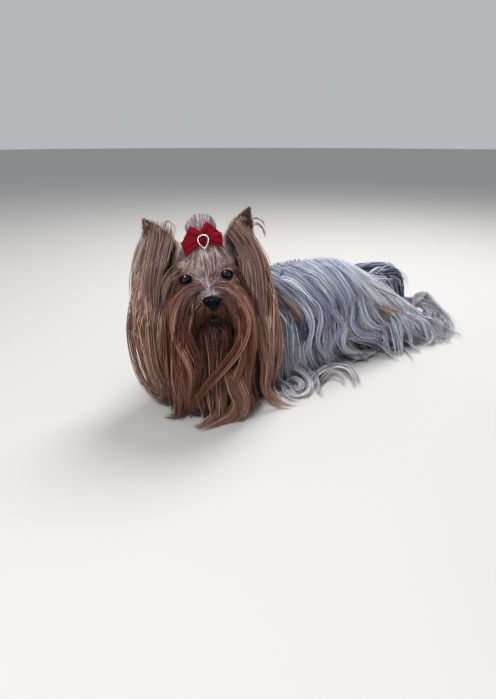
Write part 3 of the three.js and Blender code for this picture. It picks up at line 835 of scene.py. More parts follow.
def makeBrooch():
    count, ring = 88, 10
    line = dropOutline(brooch["size"], count, brooch["height"])
    way = unit(np.roll(line, -1, 0) - np.roll(line, 1, 0))
    outward = np.cross(way, (0, 0, 1.0))
    turn = np.linspace(0, 2 * math.pi, ring, endpoint=False)
    bead = brooch["beadRadius"] + 0.08 * np.cos(np.arange(count) * 2 * math.pi * brooch["beads"] / count)
    sideways = outward[:, None] * (np.cos(turn)[None, :, None] * bead[:, None, None])
    upward = np.array([0, 0, 1.0]) * (np.sin(turn)[None, :, None] * bead[:, None, None] * 1.2)
    points = (line[:, None] + sideways + upward).reshape(-1, 3)
    index = np.arange(count * ring).reshape(count, ring)
    aroundNext = np.roll(index, -1, 1)
    quads = columns(index, np.roll(index, -1, 0), np.roll(aroundNext, -1, 0), aroundNext).reshape(-1, 4)
    pale = ease((points[:, 1] + 4) / 4)
    colour = mixed(brooch["gold"], brooch["paleGold"], pale)
    made = newObject("brooch_ring", fromBow(points), [quads], materials["rim"], colour)
    settle(made, "brooch_rim", "brooch_rim")
    points = np.concatenate([dropOutline(size, brooch["sides"], height) for size, height in brooch["facets"]])
    index = np.arange(len(points)).reshape(-1, brooch["sides"])
    beside = np.roll(index, -1, 1)
    quads = columns(index[:-1], beside[:-1], beside[1:], index[1:]).reshape(-1, 4)
    caps = [index[0][::-1][None], index[-1][None]]
    faces = [quads, *caps]
    made = newObject("brooch_stone", fromBow(points), faces, materials["gem"], brooch["stone"], smooth=False)
    settle(made, "brooch_gem", "brooch_gem")


for name, corners in loops.items():
    makeLoop(name, *corners)
makeKnot()
makeBrooch()
print("bow and brooch made")


# Coat: every lock is a bunch of thin closed strands round a guide


def unwrapped(roots, style):  # where a root lies on the skin's own shape
    if style == "head":
        local = toHead(roots) - (-22, 0, 2)
        turn = np.arctan2(local[:, 1], local[:, 0])
        lean = np.arctan2(local[:, 2], np.linalg.norm(local[:, :2], axis=-1))
        return columns(turn, lean + 0.002 * np.linalg.norm(local, axis=-1))
    turn = np.arctan2(roots[:, 0], roots[:, 2] - 50)
    return columns(roots[:, 1], turn)


coat = {}
totals = []  # triangles in each finished piece
coatEnd = 414  # no hair lies further back


def grown(count, least=8, parts=1):  # how many of them grow here, shared among that many parts
    return max(int(count * coatShare / parts), least)


def awayFrom(points, height, x=0.0):  # outward from a line along the body at that height
    return unit(points - columns(x, points[..., 1], height))


def overEyes(paths, reach=1.15):  # which strands cross an eye
    local = toHead(paths)
    lowered = local - np.maximum(local[..., :1], 0) * (0, 0, 0.35)
    over = [openingOf(place, side) for place in (local, lowered) for side in (1, -1)]
    return (np.min(over, 0) < reach).any(1)


def addStrands(piece, paths, out, width, stops, thin=0.28, twist=0.38, taper=0.7, rootWidth=0.55):
    n, r, _ = paths.shape
    way = unit(np.gradient(paths, axis=1))
    side = unit(np.cross(way, out))
    lift = np.cross(side, way)
    angle = rng.uniform(-twist, twist, (n, 1, 1))
    angle = angle + rng.uniform(-twist, twist, (n, 1, 1)) * np.linspace(0, 1, r)[None, :, None]
    wide = side * np.cos(angle) + lift * np.sin(angle)
    high = lift * np.cos(angle) - side * np.sin(angle)
    s = np.linspace(0, 1, r)
    shape = (rootWidth + (1 - rootWidth) * ease(s / 0.2)) * (1 - ease((s - taper) / (1.02 - taper)) * 0.93)
    half = (width[:, None] * shape[None, :] / 2)[..., None]
    corners = [paths - wide * half, paths + wide * half, paths + high * half * 2 * thin]
    rings = np.stack([c[:, :-1] for c in corners], 2).reshape(n, -1, 3)
    points = np.concatenate([rings, paths[:, -1:]], 1)
    perStrand = points.shape[1]
    sides = []
    for i in range(r - 2):
        for j in range(3):
            k = (j + 1) % 3
            sides.append((3 * i + j, 3 * i + k, 3 * i + 3 + k, 3 * i + 3 + j))
    last = 3 * (r - 2)
    tips = [(last + j, last + (j + 1) % 3, last + 3) for j in range(3)] + [(0, 2, 1)]
    start = (np.arange(n) * perStrand)[:, None, None]
    quads = (np.array(sides)[None] + start).reshape(-1, 4)
    triangles = (np.array(tips)[None] + start).reshape(-1, 3)
    stops = np.stack(stops, 1)  # tones from root to tip
    low, part = between(s * (stops.shape[1] - 1), stops.shape[1] - 1)
    tone = mixed(stops[:, low], stops[:, low + 1], part)
    # painted shade and highlight: each strand's two edges are darkened and its ridge lightened, so it reads
    # as round
    shading = np.stack([rng.uniform(0.55, 1.05, n), rng.uniform(0.55, 1.05, n), np.full(n, 1.12)], 1)
    ringTone = (tone[:, :-1, None] * shading[:, None, :, None]).reshape(n, -1, 3)
    tone = np.concatenate([ringTone, tone[:, -1:]], 1)
    along = np.concatenate([np.repeat(s[:-1], 3), [1.0]])
    over = np.concatenate([np.tile([0.0, 1.0, 0.5], r - 1), [0.5]])
    coat.setdefault(piece, []).append({
        "points": points.reshape(-1, 3), "quads": quads, "triangles": triangles, "tone": tone.reshape(-1, 3),
        "root": np.repeat(paths[:, 0], perStrand, axis=0),
        "patch": np.tile(columns(over, along), (n, 1)),
    })


def growLocks(piece, guides, out, look, tone):
    count, steps, _ = guides.shape
    each = look["each"]
    n = count * each
    which = np.repeat(np.arange(count), each)
    s = np.linspace(0, 1, look["rings"])
    far = 1 - look.get("uneven", 0.15) * rng.random(n) ** 1.5
    low, part = between(s[None, :] * far[:, None] * (steps - 1), steps - 1)
    line = which[:, None]
    paths = mixed(guides[line, low], guides[line, low + 1], part)
    normal = unit(mixed(out[line, low], out[line, low + 1], part))
    way = unit(np.gradient(paths, axis=1))
    side = unit(np.cross(way, normal))
    turn = rng.uniform(0, 2 * math.pi, n)
    ring = np.sqrt(rng.random(n))
    begin = look.get("gatherFrom", 0.0)
    gather = 1 - (1 - look.get("gather", 0.35)) * ease((s - begin) / (1 - begin))
    paths = paths + side * ((np.cos(turn) * ring * look["spread"])[:, None] * gather)[..., None]
    paths = paths + normal * ((np.sin(turn) * ring * look["depth"])[:, None] * gather)[..., None]
    loose = look.get("stray", 1.0) * np.where(rng.random(n) < look.get("wild", 0.04), 3.5, 1.0)
    pace = rng.uniform(2.5, 7, (n, 1))
    for direction, seedTurn in ((side, 0.0), (normal, 1.7)):
        wave = np.sin(s[None, :] * pace + rng.uniform(0, 6.28, (n, 1)) + seedTurn) - np.sin(seedTurn)
        paths = paths + direction * (loose[:, None] * ease(s * 1.5)[None, :] * wave)[..., None]
    off = np.abs(rng.normal(0, look.get("lift", 0.6), (n, 1))) + 0.35
    paths = keptOff(paths, off * np.minimum(1, 0.15 + 6 * s)[None, :])
    if look.get("clearEyes"):
        clear = ~overEyes(paths)
        paths, normal, which = paths[clear], normal[clear], which[clear]
        n = len(which)
        if not n:
            return
    floor = 0.4 + rng.random((n, 1)) * look.get("pile", 2.5)
    paths[..., 2] = np.maximum(paths[..., 2], floor)
    width = look["width"] * rng.uniform(0.65, 1.25, n)
    stops = tone(paths[:, 0], which, n, count)
    addStrands(piece, paths, normal, width, stops, taper=look.get("taper", 0.7),
               rootWidth=look.get("root", 0.55))


def levels(which, n, count, middle, perLock, perStrand, bright=0.12):
    lock = rng.normal(0, perLock, count)[which]
    return middle + lock + rng.normal(0, perStrand, n) + 0.32 * (rng.random(n) < bright)


def finishCoat(piece, slotName, finish, style, *nodes):
    batches = coat[piece]
    sizes = np.cumsum([0] + [len(b["points"]) for b in batches])
    points = np.concatenate([b["points"] for b in batches])
    quads = np.concatenate([b["quads"] + sizes[i] for i, b in enumerate(batches)])
    triangles = np.concatenate([b["triangles"] + sizes[i] for i, b in enumerate(batches)])
    tone = np.concatenate([b["tone"] for b in batches])
    made = newObject(piece, points, [quads, triangles], materials[finish], np.clip(tone, 0.002, 0.95))
    spots = unwrapped(np.concatenate([b["root"] for b in batches]), style)
    low, high = spots.min(0), spots.max(0)
    spots = 0.004 + (spots - low) / (high - low) * 0.989
    spots = spots + np.concatenate([b["patch"] for b in batches]) * 0.003
    layer = made.data.uv_layers.new(name="OFBake")
    corner = np.empty(len(made.data.loops), np.int32)
    made.data.loops.foreach_get("vertex_index", corner)
    layer.data.foreach_set("uv", spots[corner].astype(np.float32).ravel())
    settle(made, slotName, *nodes)
    totals.append(2 * len(quads) + len(triangles))
    print(f"{piece}: {totals[-1]} triangles")


# Body coat: from the parting down each side in long waves

coatRows = np.array([  # y, height of the parting, half width at mid height, on the floor at right and at left
    (-40, 49, 26, 39, 39), (-20, 77, 38, 55, 55), (5, 101, 49, 70, 68), (35, 115, 55, 80, 74),
    (65, 122, 58, 85, 74), (98, 125, 59, 89, 68), (135, 127, 58, 89, 62), (170, 128, 57, 83, 59),
    (200, 122, 55, 74, 56), (232, 109, 53, 67, 54), (262, 91, 51, 61, 52), (292, 71, 50, 58, 52),
    (320, 51, 47, 56, 52), (342, 33, 42, 50, 48), (372, 14, 36, 44, 44),
], float)
bodyLook = {"middle": 25, "each": 9, "rings": 17, "spread": 6.5, "depth": 1.8, "gather": 0.4,
            "gatherFrom": 0.35, "stray": 1.6, "width": 1.0, "root": 0.2, "uneven": 0.22, "lift": 0.8,
            "wild": 0.08, "pile": 3.0, "taper": 0.62}


def coatPoint(y, q, side, layer=1.0):
    crest, middle, right, left = (np.interp(y, coatRows[:, 0], coatRows[:, i]) for i in (1, 2, 3, 4))
    hem = np.where(np.asarray(side) > 0, left, right)
    turn = np.minimum(q / 0.6, 1) * math.pi / 2
    low = np.clip((q - 0.6) / 0.4, 0, 1)
    x = middle * np.sin(turn) + (hem - middle) * low**1.1 + np.maximum(q - 1, 0) * 40
    z = crest * np.where(q < 0.6, 0.42 + 0.58 * np.cos(turn), 0.42 * (1 - low)) + 1.5 * low
    return columns(side * x * layer, y, z * layer)


bodyFlow = [  # locks followed over the photo, each from the back down
    [(270, 291), (277, 301), (283, 312), (287, 325), (287, 340), (285, 352), (286, 366)],
    [(270, 284), (281, 291), (291, 303), (300, 316), (305, 328), (304, 341), (302, 354), (307, 368)],
    [(272, 276), (287, 282), (300, 292), (312, 304), (320, 317), (324, 329), (321, 341), (322, 353),
     (329, 366)],
    [(281, 270), (297, 273), (311, 282), (323, 294), (332, 307), (336, 319), (333, 331), (329, 343),
     (332, 354), (342, 361)],
    [(297, 265), (312, 270), (325, 281), (335, 294), (343, 308), (345, 321), (341, 333), (340, 344),
     (348, 352), (362, 352)],
    [(312, 263), (326, 269), (338, 281), (346, 295), (350, 308), (351, 320), (354, 331), (364, 338),
     (380, 338), (396, 336)],
    [(328, 263), (341, 271), (352, 284), (361, 297), (365, 309), (367, 320), (375, 328), (390, 331),
     (404, 335)],
    [(342, 266), (356, 277), (369, 290), (379, 300), (388, 309), (396, 317), (404, 325), (414, 332),
     (426, 338)],
    [(355, 270), (372, 283), (388, 294), (401, 302), (411, 312), (418, 322), (426, 332), (438, 338)],
    [(372, 281), (386, 290), (398, 297), (410, 303), (418, 312), (424, 322), (432, 332), (443, 339)],
]
flowLevels = np.linspace(0, 1.1, 15)


def spotsOnCoat(pixels):  # how far along the body, and how far down the coat, the photo's pixels lie
    y, q = np.meshgrid(np.linspace(-40, 350, 220), np.linspace(0, 1.1, 100), indexing="ij")
    seen = pixelOf(coatPoint(y, q, 1)).reshape(-1, 2)
    nearest = np.linalg.norm(seen[None] - np.array(pixels, float)[:, None], axis=-1).argmin(1)
    return y.ravel()[nearest], q.ravel()[nearest]


def readFlow():
    lines = []
    for pixels in bodyFlow:
        y, q = spotsOnCoat(pixels)
        q = np.maximum.accumulate(q) + 1e-4 * np.arange(len(q))
        lines.append(np.interp(flowLevels, q, y))
    front = np.full(len(flowLevels), -34.0) + 4 * flowLevels
    shoulder = np.maximum(lines[0] - 26, front + 4)
    back = 322 + 26 * ease(flowLevels)
    rows = np.array([front, shoulder, *lines, back])
    return np.maximum.accumulate(rows, 0)


flowLines = readFlow()


def flowing(at, q):  # how far along the body a lock lies at q, for its place among the flow lines
    low, part = between(np.clip(at, 0, len(flowLines) - 1), len(flowLines) - 1)
    part = part[:, None]
    rows = np.stack([np.interp(q, flowLevels, line) for line in flowLines])
    lock = np.arange(len(at))
    y = rows[low, lock] * (1 - part) + rows[low + 1, lock] * part
    for _ in range(4):
        y[:, 1:-1] = 0.25 * y[:, :-2] + 0.5 * y[:, 1:-1] + 0.25 * y[:, 2:]
    return y


def bodyGuides(count, side, fromQ, toQ, layers, spacing=0.62, steps=45):
    n = grown(count)
    ends = len(flowLines) - 1
    front = 0.0 if side > 0 else 0.9
    start = np.sort(np.interp(rng.random(n), [0, 0.06, 0.9, 1], [front, 1, ends - 1, ends]))
    bunches = int(ends / spacing) + 1
    places = spacing * (np.arange(bunches) + rng.uniform(0.2, 0.8, bunches))
    which = np.abs(start[:, None] + rng.normal(0, 0.12 * spacing, (n, 1)) - places[None]).argmin(1)
    place = places[which]
    aside = np.clip((start - place) / spacing, -0.8, 0.8)
    first = rng.uniform(*fromQ, n)
    last = rng.uniform(*toQ, bunches)[which] + rng.normal(0, 0.05, n)
    layer = rng.uniform(*layers, n)
    t = np.linspace(0, 1, steps)[None, :]
    q = first[:, None] + (last - first)[:, None] * t
    pull = 0.7 * ease((q - 0.3) / 0.55)
    stray = rng.normal(0, 4, bunches)[which][:, None] * ease(q / 0.9)
    y = flowing(start, q) * (1 - pull) + (flowing(place, q) + stray) * pull
    y = y + (rng.uniform(4, 30, bunches))[which][:, None] * ease((q - 0.86) / 0.3)
    path = coatPoint(y, q, side, layer[:, None])
    run = runAlong(path)
    seat = columns(places * 30, 0.0)
    phase = (2.0 * swell(seat, 150, 31) + rng.normal(0, 0.6, bunches))[which] + rng.normal(0, 0.5, n) + 2.9
    long = (80 + rng.normal(0, 12, bunches))[which][:, None]
    beat = 2 * math.pi * run / long + phase[:, None]
    size = rng.uniform(1.0, 3.6, bunches)[which][:, None] * ease((run - 15) / 110)
    path[..., 1] += size * np.sin(beat) - size[:, :1] * np.sin(beat[:, :1])
    out = awayFrom(path, bodyLook["middle"])
    sink, until = (2.0, 0.06) if side > 0 else (4.0, 0.14)  # at the parting
    bulge = (3.0 - 13 * aside[:, None] ** 2) * ease((q - 0.45) / 0.4) - sink * (1 - ease(q / until))
    path = path + out * (0.5 * size * np.cos(beat) - 0.5 * size + bulge)[..., None]
    return path, out, layer, which, aside


# a tan marking, then painted light and shade: dark steel and sable patches in the hollows, a cream ridge and
# a pale silver top where the light falls
bodyMarksAndPaintedLight = [  # pixel of the photo, how far it reaches, tone, level added and share
    ((391, 313), (15, 7), "tan", 0.0, 0.6),
    ((286, 303), (10, 14), "sable", -0.1, 0.5),
    ((297, 338), (5, 13), "steel", 0.15, 0.5),
    ((346, 334), (4, 8), "steel", 0.15, 0.4),
    ((338, 304), (4, 14), "steel", 0.3, 0.3),
    ((312, 289), (6, 8), "steel", 0.35, 0.2),
    ((388, 294), (26, 7), "cream", 0.4, 0.8),
    ((330, 272), (50, 11), "silver", 0.16, 0.7),
]


# adds the coat's tan marking and the painted light and shade of the patches listed above
def withMarksAndPaintedLight(colour, level, points):
    seen = pixelOf(np.abs(points) * (1, 0, 0) + points * (0, 1, 1))
    for middle, reach, tone, more, share in bodyMarksAndPaintedLight:
        near = np.exp(-(((seen - np.array(middle)) / np.array(reach)) ** 2).sum(-1))
        colour = mixed(colour, shade(tone, level + more), share * near)
    return colour


def bodyTone(guides, layer, bunch, aside):
    def tone(roots, which, n, count):
        level = levels(which, n, count, 0.6, 0.03, 0.09, 0.07)
        own = rng.normal(0, 0.1, bunch.max() + 1)[bunch][which] + rng.normal(0, 0.06, count)[which]
        # painted shade: strands of the inner layers are darker, as if under the outer coat
        level = level - 1.4 * (1 - np.minimum(layer[which], 1.0))
        # painted shade: darker at each bunch's edges, between the locks
        low = level + own - 0.23 - 0.5 * aside[which] ** 2
        tan = (rng.random(bunch.max() + 1) < 0.28)[bunch][which] * 0.5
        steps = guides.shape[1]
        stops = []
        for share in (0.0, 0.22, 0.45, 0.7, 0.88, 1.0):
            at = guides[which, int(share * (steps - 1))]
            rear = ease((at[:, 1] - 205) / 60) * ease((at[:, 2] - 8) / 24)
            down = ease(share / 0.5)
            # painted light and shade: lighter on top near the parting, darker down the side
            light = (level + 0.14) * (1 - down) + (low + 0.05 * share) * down + 0.28 * rear
            colour = mixed(shade("silver", light), shade("cream", light + 0.12), 0.12 + 0.45 * rear)
            colour = mixed(colour, shade("tan", light + 0.1), tan * ease((share - 0.5) / 0.4) * (1 - rear))
            colour = mixed(colour, shade("cream", light + 0.2), 0.5 * ease((share - 0.8) / 0.2))
            stops.append(withMarksAndPaintedLight(colour, light, at))
        stops[-1] = np.minimum(stops[-1] * 1.2, 0.9)
        return stops
    return tone


bodySets = {  # locks, where they begin and end down the coat, how far out they lie, and what differs
    "coat_left_upper": [
        (178, (0.0, 0.05), (0.9, 1.03), (0.97, 1.01), {"rings": 15}),
        (30, (0.0, 0.3), (0.8, 1.0), (1.01, 1.035),
         {"each": 8, "spread": 4.5, "gather": 0.3, "width": 0.85, "rings": 14}),
    ],
    "coat_left_under": [
        (100, (0.02, 0.45), (0.9, 1.03), (0.9, 0.98), {"rings": 13}),
        (70, (0.0, 0.5), (0.9, 1.0), (0.8, 0.9), {"each": 7, "width": 2.6, "rings": 10}),
    ],
    "coat_right": [
        (125, (0.0, 0.05), (0.93, 1.05), (0.95, 0.995), {"each": 8, "width": 1.7, "rings": 13}),
        (50, (0.15, 0.5), (0.92, 1.03), (0.85, 0.93), {"each": 7, "width": 2.6, "rings": 10}),
    ],
}


def growBodyCoat(piece, side):
    for count, fromQ, toQ, layers, look in bodySets[piece]:
        guides, out, layer, bunch, aside = bodyGuides(count, side, fromQ, toQ, layers)
        growLocks(piece, guides, out, {**bodyLook, **look}, bodyTone(guides, layer, bunch, aside))


# painted light and shade: the bright silver and cream locks stand for lit locks, the dark steel and sable
# ones for shade in the hollows; the tan ones are the coat's own colour
bodyLocks = [  # locks that stand out over the rest: tone, level, strands, spread and their pixels
    ("silver", 0.62, 26, 4.0, [(322, 300), (330, 312), (338, 322), (341, 331), (335, 341), (329, 350),
                               (332, 358), (342, 362)]),
    ("silver", 0.72, 28, 3.0, [(351, 300), (352, 312), (350, 322), (355, 332), (366, 337), (380, 335),
                               (391, 331)]),
    ("silver", 0.7, 28, 3.2, [(304, 297), (316, 308), (320, 325), (316, 335), (317, 347), (324, 357),
                              (334, 364)]),
    ("cream", 0.6, 26, 2.8, [(341, 318), (345, 330), (342, 340), (345, 350), (358, 353), (372, 349)]),
    ("silver", 0.66, 26, 3.2, [(292, 296), (304, 310), (309, 325), (308, 340), (306, 352), (312, 364),
                               (320, 372)]),
    ("cream", 0.85, 12, 1.2, [(271, 302), (277, 312), (284, 322), (290, 330)]),
    ("tan", 0.42, 14, 3.4, [(276, 292), (285, 303), (296, 316), (303, 328)]),
    ("tan", 0.38, 14, 3.4, [(284, 294), (294, 306), (303, 318), (308, 330)]),
    ("silver", 0.74, 30, 3.0, [(360, 298), (361, 312), (366, 322), (376, 329), (390, 328), (402, 332)]),
    ("cream", 0.8, 26, 2.2, [(364, 281), (376, 289), (390, 295), (402, 300), (412, 306)]),
    ("cream", 0.86, 22, 2.0, [(376, 284), (388, 291), (400, 296), (412, 300)]),
    ("tan", 0.55, 26, 4.0, [(372, 303), (383, 308), (396, 311), (405, 315), (411, 322)]),
    ("tan", 0.42, 22, 4.0, [(376, 308), (386, 316), (398, 322), (408, 328)]),
    ("silver", 0.78, 18, 4.0, [(286, 283), (297, 290), (308, 300), (317, 311), (321, 320)]),
    ("silver", 0.78, 18, 4.4, [(300, 272), (313, 279), (323, 290), (331, 301), (335, 312)]),
    ("silver", 0.8, 16, 4.0, [(276, 281), (290, 285), (302, 296), (311, 306)]),
    ("silver", 0.8, 16, 4.4, [(316, 265), (330, 272), (342, 285), (349, 298), (351, 308)]),
    ("silver", 0.8, 16, 4.4, [(330, 266), (344, 276), (355, 289), (362, 302)]),
    ("steel", 0.25, 24, 2.4, [(296, 322), (301, 335), (300, 350)]),
    ("steel", 0.25, 20, 2.0, [(303, 318), (306, 332), (303, 347)]),
    ("steel", 0.66, 9, 1.0, [(305, 279), (313, 289), (320, 299)]),
    ("steel", 0.66, 12, 1.0, [(313, 271), (322, 280), (330, 291), (337, 302), (342, 315)]),
    ("steel", 0.45, 14, 1.3, [(334, 298), (338, 309), (342, 319)]),
    ("steel", 0.45, 14, 1.4, [(354, 303), (356, 312), (359, 320)]),
    ("steel", 0.66, 6, 0.7, [(279, 278), (284, 273), (292, 270)]),
    ("sable", 0.3, 20, 2.2, [(272, 294), (280, 304), (288, 316)]),
    ("sable", 0.25, 20, 2.0, [(286, 306), (296, 319), (302, 332)]),
]


def tracedTone(palette, along, tint=(1.0, 1.0, 1.0)):
    def tone(roots, which, n, count):
        level = levels(which, n, count, -0.02, 0.07, 0.13, 0.09)
        stops = [shade(palette, level + step) for step in along]
        if palette == "gold":
            stops = [mixed(stop, shade("russet", level + step + 0.16), 0.75)
                     for stop, step in zip(stops, along)]
            if along[0] < 0.25:
                stops[0] = shade("cheek", level + along[0] + 0.15)
        return [stop * tint for stop in stops]
    return tone


def growBodyLocks(piece):
    for palette, bright, strands, spread, pixels in bodyLocks:
        y, q = spotsOnCoat(pixels)
        n = 5
        layer = 1.015 + 0.03 * np.sin(np.linspace(0, math.pi, len(y)))
        if palette in ("steel", "sable"):
            layer = layer + 0.004
        line = coatPoint(y, q, 1, layer)
        guides = through(line[None] + rng.normal(0, 0.5, (n, 1, 3)) * spread, 33)
        out = awayFrom(guides, bodyLook["middle"])
        look = {**bodyLook, "each": grown(strands, 1, n), "rings": 12, "spread": spread, "depth": 0.8,
                "gather": 0.45, "width": 0.85, "stray": 0.8, "root": 0.1, "uneven": 0.35, "taper": 0.45}
        growLocks(piece, guides, out, look,
                  tracedTone(palette, (bright - 0.14, bright, bright, bright + 0.04)))


growBodyCoat("coat_left_upper", 1)
growBodyLocks("coat_left_upper")
growBodyCoat("coat_left_under", 1)
growBodyCoat("coat_right", -1)


# Curls on the floor beside the body

floorCurls = [  # paths over the photo, with their heights over the floor, then the strands and their spread
    ([(284, 366, 22), (294, 369, 18), (304, 375, 13), (309, 384, 8), (306, 393, 4), (297, 396, 3),
      (288, 393, 3), (285, 385, 5), (289, 378, 9), (297, 377, 11), (303, 382, 9), (303, 388, 7),
      (297, 390, 7), (292, 386, 9)], 60, 1.3),
    ([(286, 362, 24), (297, 366, 19), (307, 373, 13), (312, 384, 7), (309, 394, 3), (300, 399, 2)], 30, 1.6),
    ([(290, 381, 9), (296, 379, 10), (301, 383, 9), (300, 388, 8), (295, 388, 9)], 30, 1.2),
    ([(306, 362, 16), (313, 375, 8), (322, 367, 8), (335, 363, 9), (348, 366, 6), (357, 375, 4),
      (362, 386, 3)], 44, 1.6),
    ([(310, 388, 4), (314, 376, 8), (324, 369, 10), (337, 366, 9), (348, 370, 6), (354, 380, 4),
      (354, 389, 3)], 36, 1.4),
    ([(314, 368, 12), (318, 379, 7), (320, 390, 4), (325, 398, 2)], 16, 1.0),
    ([(320, 384, 5), (325, 375, 9), (334, 372, 9), (342, 377, 6), (345, 386, 3)], 20, 1.4),
    ([(330, 346, 20), (342, 350, 14), (356, 352, 9), (370, 350, 7), (384, 347, 6), (398, 344, 5),
      (409, 352, 3), (417, 367, 1.5)],
     12, 1.0),
    ([(336, 344, 18), (350, 353, 10), (364, 355, 6), (376, 350, 5), (386, 347, 4), (396, 350, 2)], 26, 2.4),
    ([(346, 348, 14), (356, 358, 7), (368, 356, 4), (380, 350, 3)], 24, 2.4),
    ([(352, 330, 20), (362, 342, 12), (376, 344, 8), (390, 340, 6), (402, 340, 4)], 22, 2.6),
    ([(368, 322, 22), (380, 332, 13), (394, 336, 8), (406, 335, 6), (416, 336, 4)], 20, 2.6),
    ([(280, 380, 12), (284, 392, 5), (292, 400, 2), (302, 402, 1.5)], 18, 1.8),
]


def curlTone(roots, which, n, count):
    level = levels(which, n, count, 0.45, 0.1, 0.12)
    return [shade("silver", level - 0.25), shade("cream", level - 0.08), shade("cream", level + 0.04),
            shade("cream", level + 0.12)]


def growFloorCurls():
    for path, strands, spread in floorCurls:
        line = np.array([seenAt(*knot) for knot in path])
        n = 5
        size = np.linspace(1, 0.45, len(line))[None, :, None]
        guides = through(line[None] + rng.normal(0, 1, (n, 1, 3)) * (1, 1, 0.3) * spread * size, 41)
        out = np.broadcast_to(unit(np.array([0.3, -0.1, 1.0])), guides.shape)
        look = {**bodyLook, "each": grown(strands, 1, n), "rings": 20, "spread": spread, "depth": 1.0,
                "gather": 0.5, "width": 0.95, "stray": 0.8, "pile": 3.0, "uneven": 0.3}
        growLocks("floor_curls", guides, out, look, curlTone)


def curling(start, heading, long, radius, rise, steps=25):  # paths that wind over the floor
    s = np.linspace(0, 1, steps)[None, :]
    turn = heading[:, None] + ease(s * 0.9) * (long / radius)[:, None]
    step = (long / steps)[:, None]
    x = start[:, :1] + np.cumsum(np.cos(turn), 1) * step
    y = start[:, 1:2] + np.cumsum(np.sin(turn), 1) * step
    z = start[:, 2:] + rise[:, None] * np.sin(s * 2.2) - (start[:, 2:] - 2) * ease(s * 1.3)
    return columns(x, y, np.maximum(z, 1.0))


hemLook = {**bodyLook, "locks": 36, "within": (-96, 118), "each": 6, "rings": 12, "spread": 2.6, "depth": 1.2,
           "gather": 0.5, "gatherFrom": 0.1, "width": 0.95}


def growHemCurls(side):
    n = grown(hemLook["locks"], 6)
    y = np.where(rng.random(n) < 0.5, rng.uniform(20, 70, n), rng.uniform(190, 330, n))
    q = rng.uniform(0.82, 0.98, n)
    start = coatPoint(y, q, side)
    heading = math.pi / 2 - side * rng.uniform(-0.25, 0.5, n)
    radius = rng.uniform(12, 30, n) * np.where(rng.random(n) < 0.75, side, -side)
    guides = curling(start, heading, rng.uniform(26, 52, n), radius, rng.uniform(0, 5, n))
    guides[..., 0] = np.clip(guides[..., 0], *hemLook["within"])
    out = np.broadcast_to(np.array([0.0, 0.0, 1.0]), guides.shape)
    growLocks("floor_curls", guides, out, hemLook, curlTone)


growFloorCurls()
growHemCurls(1)
growHemCurls(-1)
finishCoat("floor_curls", "silver_coat", "hair", "body")
finishCoat("coat_left_upper", "silver_coat", "hair", "body", "body_coat_left")
finishCoat("coat_left_under", "silver_coat", "hair", "body", "body_coat_left")
finishCoat("coat_right", "silver_coat", "hair", "body", "body_coat_right")


# Falls: hair that hangs from the head to the floor within an upright form


def hangAt(steps, height):
    table = np.array(steps, float)[::-1]
    return [np.interp(height, table[:, 2], table[:, i]) for i in (0, 1, 3, 4)]


def hangPoint(steps, height, sideways, forward):
    ahead, left, halfSide, halfAhead = hangAt(steps, height)
    return hanging(ahead + forward * halfAhead, left + sideways * halfSide, height)


def bunched(sideways, forward, count):  # each lock's bunch, and the bunches' own places in the form
    turn = np.arange(count) * 2.4 + rng.uniform(0, 6.28)
    reach = np.sqrt((np.arange(count) + 0.5) / count) * 0.9
    centres = columns(np.cos(turn), np.sin(turn)) * reach[:, None]
    away = columns(sideways, forward)[:, None] - centres[None]
    which = np.linalg.norm(away + rng.normal(0, 0.06, away.shape), axis=-1).argmin(1)
    return which, centres


def hangGuides(steps, roots, legs, sideways, forward, joinDrop, tail, bunches, lie=None):
    n = len(roots)
    which, centres = bunched(sideways, forward, bunches)
    centre = centres[which]
    join = np.maximum(roots[:, 2] - joinDrop, 20)
    rows = [roots] + list(legs)
    for share, pull in ((1.0, 0.0), (0.72, 0.12), (0.46, 0.3), (0.22, 0.55)):
        sides = sideways + (centre[:, 0] - sideways) * pull
        aheads = forward + (centre[:, 1] - forward) * pull
        rows.append(hangPoint(steps, join * share, sides, aheads))
    sides = sideways + (centre[:, 0] - sideways) * 0.7
    aheads = forward + (centre[:, 1] - forward) * 0.7
    foot = hangPoint(steps, rng.uniform(4, 9, bunches)[which], sides, aheads)
    middle = hangPoint(steps, np.full(bunches, 4.0), np.zeros(bunches), np.zeros(bunches))
    tips = hangPoint(steps, np.full(bunches, 4.0), centres[:, 0], centres[:, 1])
    away = unit((tips - middle) * (1, 1, 0) + 1e-6) if lie is None else unit(np.broadcast_to(lie, tips.shape))
    turn = rng.normal(0, 0.5, bunches)
    cos, sin = np.cos(turn)[:, None], np.sin(turn)[:, None]
    across = columns(-away[:, 1], away[:, 0], 0.0)
    away, across = away * cos + across * sin, across * cos - away * sin
    curl = rng.uniform(-1, 1, bunches)[which, None]
    tailLong = (rng.uniform(*tail, bunches)[which] * rng.uniform(0.75, 1.15, n))[:, None]
    low = rng.uniform(1.0, 3.5, n)[:, None] * (0, 0, 1.0)
    rows.append(foot)
    flat = foot * (1, 1, 0)
    rows.append(flat + away[which] * tailLong * 0.4 + across[which] * tailLong * curl * 0.08 + low)
    rows.append(flat + away[which] * tailLong * 0.78 + across[which] * tailLong * curl * 0.35 + low * 0.6)
    rows.append(flat + away[which] * tailLong * 0.95 + across[which] * tailLong * curl * 0.85 + low)
    guides = through(np.stack(rows, 1), 37)
    ahead, left, _, _ = hangAt(steps, guides[..., 2])
    return guides, unit(guides - hanging(ahead, left, guides[..., 2]) + 1e-6)


